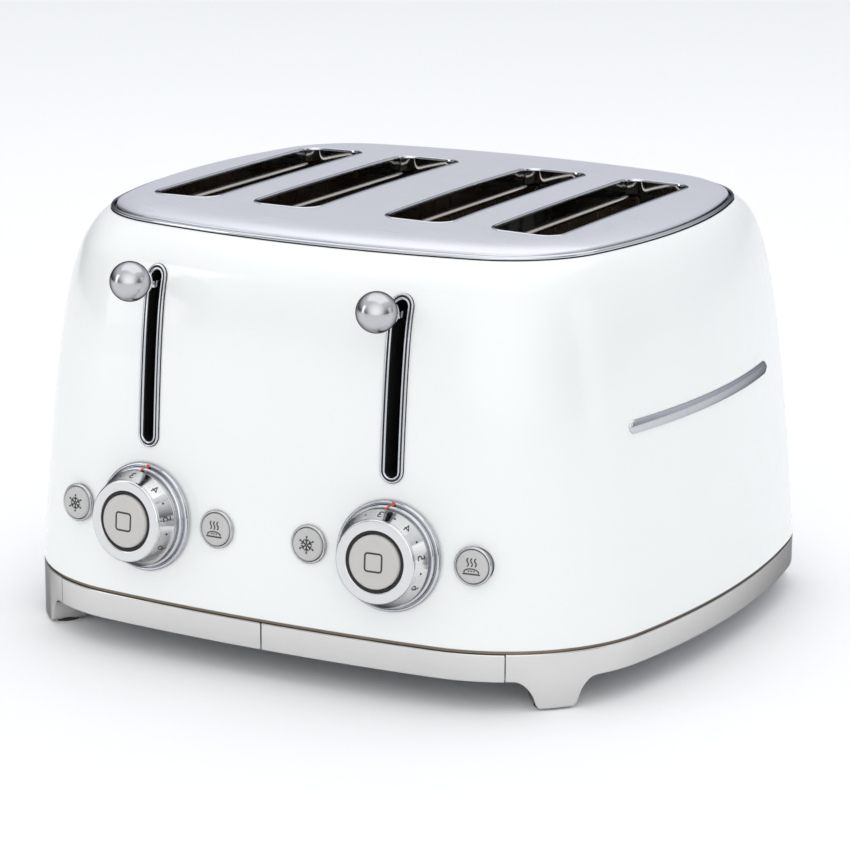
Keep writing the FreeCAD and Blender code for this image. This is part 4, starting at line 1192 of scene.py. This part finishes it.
def figure_mesh(character, height):
    """A figure as flat points and faces, centred."""
    curve = bpy.data.curves.new("figure_" + character, "FONT")
    curve.body = character
    curve.size = height / 0.70
    curve.resolution_u = 6
    curve.extrude = 0.25
    source = bpy.data.objects.new("figure_" + character, curve)
    mesh = bpy.data.meshes.new_from_object(source)
    points = [v.co.copy() for v in mesh.vertices]
    faces = [tuple(p.vertices) for p in mesh.polygons]
    bpy.data.objects.remove(source)
    low = [min(p[k] for p in points) for k in (0, 1)]
    high = [max(p[k] for p in points) for k in (0, 1)]
    middle = Vector(((low[0] + high[0]) / 2, (low[1] + high[1]) / 2, 0))
    return [p - middle for p in points], faces


def on_cone(part, clockwise):
    """Flat points wrapped on the dial's skirt, with their top towards the front ring."""
    middle_z = (SKIRT_Z + DIAL_RISE) / 2
    lean = math.hypot(1, CONE_SLOPE)
    wrapped = []
    for p in part[0]:
        z = middle_z - p.y / lean
        radius = DIAL_R + (z - DIAL_RISE) * CONE_SLOPE
        proud = INK_PROUD if p.z > 0 else -0.15
        a = math.radians(90 - clockwise) + p.x / radius
        out = radius + proud / lean
        z -= proud * CONE_SLOPE / lean
        wrapped.append(Vector((out * math.cos(a), out * math.sin(a), z)))
    return wrapped, part[1]


figures = []
for level in range(1, 7):
    turn = (level - 3) * FIGURE_STEP
    figures.append(on_cone(figure_mesh(str(level), FIGURE_HEIGHT), turn))
    if level < 6:
        figures.append(on_cone(disc(0, 0, 0.55, -0.2, 0.2), turn + FIGURE_STEP / 2))
for side in SIDES:
    piece(side + "_dial_figures", moved(joined(figures), dial_at[side]), side + "_dial",
          dark_ink, sharp=30)

# %% [markdown]
# ## Pointer
# A short orange-red enamel stroke runs down the steps of each bezel and shows the setting. It
# follows the bezel's own section a little proud of it.

# %% Pointer marks
POINTER_PATH = [(26.2, 3.06), (25.0, 3.1), (24.5, 3.3), (24.3, 4.9), (23.6, 5.4), (22.9, 5.5),
                (22.8, 6.6), (22.2, 7.12)]


def pointer():
    """A tapering ribbon down the bezel, leaning a little to the right."""
    rings = []
    for k, (radius, z) in enumerate(rounded(POINTER_PATH, 0.2, steps=3)):
        half = 0.85 - 0.015 * k
        lean = 0.10 - 0.006 * k
        ring = []
        for across, lift in ((-half, -0.3), (-half, 0.05), (0.0, 0.14), (half, 0.05), (half, -0.3)):
            a = math.pi / 2 - lean - across / radius
            ring.append(Vector(((radius + lift * 0.5) * math.cos(a),
                                (radius + lift * 0.5) * math.sin(a), z + lift)))
        rings.append(ring)
    return capped(rings)


piece("bezel_pointers", joined([moved(pointer(), dial_at[side]) for side in SIDES]), "root",
      red_enamel, stands_for=["pointer_marks"])

# %% [markdown]
# ## Badge bar
# A slim plain chrome bar decorates the right-hand side. It is a rounded bar bent to the side's
# curve, thicker in its middle line so that it catches a highlight along its length.

# %% Badge bar
bar_low, bar_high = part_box("badge_bar")
BAR_Y0, BAR_Y1 = bar_low.y / MM, bar_high.y / MM
BAR_Z = (bar_low.z + bar_high.z) / 2 / MM
BAR_HALF_HEIGHT = (bar_high.z - bar_low.z) / 2 / MM


def side_x(y, z):
    """X of the casing's right-hand surface."""
    radius = plan_at(z)[1]
    return HALF_W - inset_at(z, 1) - radius + math.sqrt(radius ** 2 - (y - MIDDLE_Y) ** 2)


def badge():
    """A crowned bar with rounded ends."""
    rings = []
    count = 60
    for k in range(count + 1):
        t = 0.5 - 0.5 * math.cos(math.pi * k / count)
        y = BAR_Y0 + (BAR_Y1 - BAR_Y0) * t
        ends = min(y - BAR_Y0, BAR_Y1 - y, BAR_HALF_HEIGHT) / BAR_HALF_HEIGHT
        half = max(BAR_HALF_HEIGHT * math.sqrt(max(1 - (1 - ends) ** 2, 0)), 0.05)
        ring = []
        for z_share, lift in ((-1.0, -0.3), (-0.96, 0.55), (-0.7, 0.95), (0.0, 1.15), (0.7, 0.95),
                              (0.96, 0.55), (1.0, -0.3)):
            z = BAR_Z + half * z_share
            ring.append(Vector((side_x(y, z) + lift, y, z)))
        rings.append(ring)
    return capped(rings)


piece("side_badge_bar", badge(), "root", chrome, stands_for=["badge_bar"],
      sharp=50)

# %% [markdown]
# ## Bread guides
# Inside each slot two wire frames close on the slice when the lever goes down. Each is two
# rails joined by thinner upright wires, and the top rail bends inwards at its far end. A wire
# is a circle carried along rounded corner points.


# %% Wires
def tube(points, radius, segments=14):
    """A round wire through 3-D points, closed at both ends."""
    line = [Vector(p) for p in points]
    runs_along_x = abs((line[1] - line[0]).normalized().x) >= 0.9
    across = Vector((0, 1, 0)) if runs_along_x else Vector((1, 0, 0))
    rings = []
    for k, here in enumerate(line):
        along = (line[min(k + 1, len(line) - 1)] - line[max(k - 1, 0)]).normalized()
        across = (across - along * across.dot(along)).normalized()
        up = along.cross(across)
        rings.append([here + (across * math.cos(a) + up * math.sin(a)) * radius
                      for a in (2 * math.pi * j / segments for j in range(segments))])
    return capped(rings)


def bent(points, radius, steps=8):
    """3-D points with rounded corners."""
    result = [Vector(points[0])]
    for before, here, after in zip(points, points[1:], points[2:]):
        b, h, a = Vector(before), Vector(here), Vector(after)
        start = h + (b - h).normalized() * min(radius, 0.48 * (b - h).length)
        end = h + (a - h).normalized() * min(radius, 0.48 * (a - h).length)
        result += [start * (1 - t) ** 2 + h * 2 * t * (1 - t) + end * t ** 2
                   for t in (j / steps for j in range(steps + 1))]
    return result + [Vector(points[-1])]


RAIL_R, UPRIGHT_R = 1.5, 0.9
TOP_RAIL_SHORTER = 8.2
TOP_RAIL_HOOK, HOOK_RADIUS = 6.0, 3.2
TIP_GAP = 0.05
UPRIGHT_COUNT, UPRIGHT_STEP = 8, 16.0
for number in (1, 2, 3, 4):
    for way in SIDES:
        node = "bread_guide_%d_%s" % (number, way)
        low, high = [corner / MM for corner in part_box(node)]
        x = (low.x + high.x) / 2
        z_low, z_high = low.z + RAIL_R, high.z - RAIL_R
        middle = (low.y + high.y) / 2
        rail_y0, rail_y1 = low.y + TOP_RAIL_SHORTER, high.y - TOP_RAIL_SHORTER
        parts = [tube([(x, low.y + TIP_GAP, z_low), (x, middle, z_low),
                       (x, high.y - TIP_GAP, z_low)], RAIL_R)]
        top_line = bent([(x, rail_y0, z_high - TOP_RAIL_HOOK), (x, rail_y0, z_high),
                         (x, rail_y1, z_high), (x, rail_y1, z_high - TOP_RAIL_HOOK)],
                        HOOK_RADIUS)
        parts.append(tube(top_line, RAIL_R))
        first = middle - UPRIGHT_STEP * (UPRIGHT_COUNT - 1) / 2
        for k in range(UPRIGHT_COUNT):
            y = first + k * UPRIGHT_STEP
            parts.append(tube([(x, y, z_low), (x, y, (z_low + z_high) / 2), (x, y, z_high)],
                              UPRIGHT_R, 10))
        body = "%s_pair_%s_guides" % ("left" if number < 3 else "right", way)
        piece(node + "_wire", joined(parts), body, bright_wire, stands_for=[node],
              sharp=50)

# %% [markdown]
# ## Return springs
# A wound steel spring pulls each carriage up. A helix with a close pitch takes the place of the
# plain tube that stands for it in the engineering model. It is tied to no body.

# %% Return springs
SPRING_WIRE_R = 0.4
TURNS, TURN_STEPS = 34, 14
for side in SIDES:
    low, high = [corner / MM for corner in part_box(side + "_return_spring")]
    centre = (low + high) / 2
    coil_r = (high.x - low.x) / 2 - SPRING_WIRE_R
    count = TURNS * TURN_STEPS
    helix = []
    for k in range(count + 1):
        a = 2 * math.pi * k / TURN_STEPS
        z = low.z + SPRING_WIRE_R + (high.z - low.z - 2 * SPRING_WIRE_R) * k / count
        helix.append((centre.x + coil_r * math.cos(a), centre.y + coil_r * math.sin(a), z))
    spring = piece(side + "_wound_spring", tube(helix, SPRING_WIRE_R, 8), None, zinc_steel,
                   stands_for=[side + "_return_spring"], sharp=60)
    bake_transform(spring)

# %% [markdown]
# ## Mica, boards and winding
# Three finishes are for parts seen only through the slots or from below. Mica board is a
# pressed flake sheet with a golden brown shimmer. A circuit board is glass fibre with a green
# lacquer and a woven trace below it. The rest of the hidden pieces use the metals above.

# %% Mica and board
mica, tree, shader, place = new_material("pressed_mica_board")
flakes = put(tree, "TexVoronoi", {"Vector": place, "Scale": per_mm(2.5)})
cloudy = noise(tree, place, 16.0, detail=4.0)
shade = put(tree, "Math", {0: flakes.outputs["Distance"], 1: cloudy}, operation="MULTIPLY")
tree.links.new(tinted(tree, shade.outputs[0], "#8F785A", "#C8AE86"), shader.inputs["Base Color"])
shader.inputs["Roughness"].default_value = 0.42
shader.inputs["IOR"].default_value = 1.58
bumped(tree, shader, flakes.outputs["Distance"], depth=0.04, strength=0.5)

lacquer, tree, shader, place = new_material("green_fr4_board")
weave = put(tree, "TexWave", {"Vector": place, "Scale": per_mm(1.2) / 6.3, "Distortion": 0.6})
tree.links.new(tinted(tree, weave.outputs["Fac"], "#1E5B38", "#256B43"),
               shader.inputs["Base Color"])
shader.inputs["Roughness"].default_value = 0.32
shader.inputs["Coat Weight"].default_value = 0.5
bumped(tree, shader, weave.outputs["Fac"], depth=0.02, strength=0.4)
print("materials:", mica.name, lacquer.name)

# %% [markdown]
# ## Finishes for the carried-over pieces
# Pieces whose engineering shape is already right keep it, and only get a finish.

# %% Finish the remaining pieces
FINISHES = {
    "foot_pads": rubber, "cable_gland": rubber, "bottom_plate": zinc_steel,
    "base_screws": zinc_steel, "terminal_block": phenolic, "chassis_floor": chamber_steel,
    "front_chassis_plate": chamber_steel, "rear_chassis_plate": chamber_steel,
    "heater_cards": mica, "heater_ribbons": nichrome, "guide_rods": chrome,
    "holding_magnets": iron, "board_standoffs": zinc_steel}
for number in (1, 2, 3, 4):
    FINISHES["bread_rack_%d" % number] = bright_wire
for side in SIDES:
    FINISHES[side + "_carriage_bracket"] = zinc_steel
    FINISHES[side + "_carriage_bush"] = black_nylon
    FINISHES[side + "_lever_stem"] = chrome
    FINISHES[side + "_control_board"] = lacquer
for node, finish in FINISHES.items():
    thing = frame["nodes"][node]
    thing.data.materials.clear()
    thing.data.materials.append(finish)
    thing.data.polygons.foreach_set("material_index", [0] * len(thing.data.polygons))
print("finished", len(FINISHES), "carried-over pieces")

# %% [markdown]
# ## Floor and light
# The toaster stands on a pale sweep. Gloss white and chrome show only what is round them, so
# the light is a tent of large soft panels with gaps. The gaps read as darker bands in the metal
# and give it its contrast, and the big panel above keeps the shadows short and soft.

# %% Pale sweep
floor_paint, tree, shader, place = new_material("matt_white_paper")
tree.links.new(tinted(tree, noise(tree, place, 400.0), "#FAFAFA", "#F6F6F6"),
               shader.inputs["Base Color"])
shader.inputs["Roughness"].default_value = 0.75
shader.inputs["Specular IOR Level"].default_value = 0.2
bumped(tree, shader, noise(tree, place, 6.0), depth=0.05, strength=0.2)
FLOOR_HALF = 6000.0
ends = (-FLOOR_HALF, FLOOR_HALF)
sweep = [[Vector((x, y, 0.0)) for y in ends] for x in ends]
floor = mesh_object("paper_floor", loft(sweep, around=False))
floor.data.materials.append(floor_paint)
floor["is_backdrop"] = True
print("floor: %.0f m across" % (2 * FLOOR_HALF * MM))


# %% Studio lights
def softbox(name, place_mm, target_mm, width, height, watts):
    """A rectangular area light aimed at a point."""
    light = bpy.data.lights.new(name, "AREA")
    light.shape = "RECTANGLE"
    light.size = width * MM
    light.size_y = height * MM
    light.energy = watts
    holder = bpy.data.objects.new(name, light)
    holder.location = Vector(place_mm) * MM
    aim = (Vector(target_mm) - Vector(place_mm)).normalized()
    holder.rotation_euler = aim.to_track_quat("-Z", "Y").to_euler()
    bpy.context.scene.collection.objects.link(holder)


softbox("overhead", (0, 300, 1800), (0, 0, 100), 2600, 2200, 11)
softbox("front_left", (-1500, -1400, 700), (0, 0, 120), 500, 1200, 4)
softbox("right_side", (1900, 500, 500), (0, 0, 110), 700, 900, 1.5)

# %% Studio surroundings
SIDE_DARK, BACK_GREY, ZENITH = "#2C2E32", "#CDD1D8", "#E9ECF0"
FRONT_DIRECTION = (0.42, -0.88, 0.22)
world = bpy.data.worlds.new("studio")
bpy.context.scene.world = world
world.use_nodes = True
tree = world.node_tree
tree.nodes.clear()
around = put(tree, "TexCoord").outputs["Generated"]
parts = put(tree, "SeparateXYZ", {"Vector": around})
climb = put(tree, "MapRange", {"Value": parts.outputs["Z"], "From Min": 0.10, "From Max": 0.60})
behind = put(tree, "MapRange", {"Value": parts.outputs["Y"], "From Min": 0.35, "From Max": 0.75})
low_band = tinted(tree, behind.outputs["Result"], SIDE_DARK, BACK_GREY)
sky = put(tree, "Mix", data_type="RGBA")
tree.links.new(climb.outputs["Result"], sky.inputs[0])
tree.links.new(low_band, sky.inputs[6])
sky.inputs[7].default_value = linear(ZENITH)
facing = put(tree, "VectorMath", {0: around, 1: FRONT_DIRECTION}, operation="DOT_PRODUCT")
glow = put(tree, "MapRange", {"Value": facing.outputs["Value"], "From Min": 0.55, "From Max": 0.96})
colour = put(tree, "Mix", data_type="RGBA")
tree.links.new(glow.outputs["Result"], colour.inputs[0])
tree.links.new(sky.outputs[2], colour.inputs[6])
colour.inputs[7].default_value = linear("#FFFFFF")
power = put(tree, "MapRange", {"Value": glow.outputs["Result"], "To Min": 1.04, "To Max": 1.6})
background = put(tree, "Background", {"Color": colour.outputs[2],
                                      "Strength": power.outputs["Result"]})
put(tree, "OutputWorld", {"Surface": background.outputs["Background"]})
bpy.context.scene.view_settings.view_transform = "Standard"

# %% [markdown]
# ## Camera
# The camera is a long lens a little above the toaster and to its right. Its place comes from
# the direction and distance of the view, and the small shift sets the toaster in the frame.

# %% Camera
AZIMUTH, ELEVATION, ROLL = 28.79, 13.82, 0.31
DISTANCE = 1755.86
TARGET = Vector((0.0, MIDDLE_Y, 107.0))
a, e, r = [math.radians(value) for value in (AZIMUTH, ELEVATION, ROLL)]
back = Vector((math.sin(a) * math.cos(e), -math.cos(a) * math.cos(e), math.sin(e)))
right = Vector((math.cos(a), math.sin(a), 0.0))
up = back.cross(right)
right, up = (right * math.cos(r) + up * math.sin(r), up * math.cos(r) - right * math.sin(r))
lens = bpy.data.cameras.new("studio_camera")
lens.sensor_width = 36.0
lens.lens = 145.77
lens.shift_x = 0.0006
lens.shift_y = -0.0393
lens.clip_start = 0.05
lens.clip_end = 50.0
camera = bpy.data.objects.new("studio_camera", lens)
camera.matrix_world = (Matrix.Translation((TARGET + back * DISTANCE) * MM)
                       @ Matrix((right, up, back)).transposed().to_4x4())
bpy.context.scene.collection.objects.link(camera)
bpy.context.scene.camera = camera
print("camera at", [round(value, 3) for value in camera.location])

# %% [markdown]
# ## Size and finish
# The last cell measures the box round the finished pieces, leaving out the floor.

# %% Measure the finished box
low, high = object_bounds()
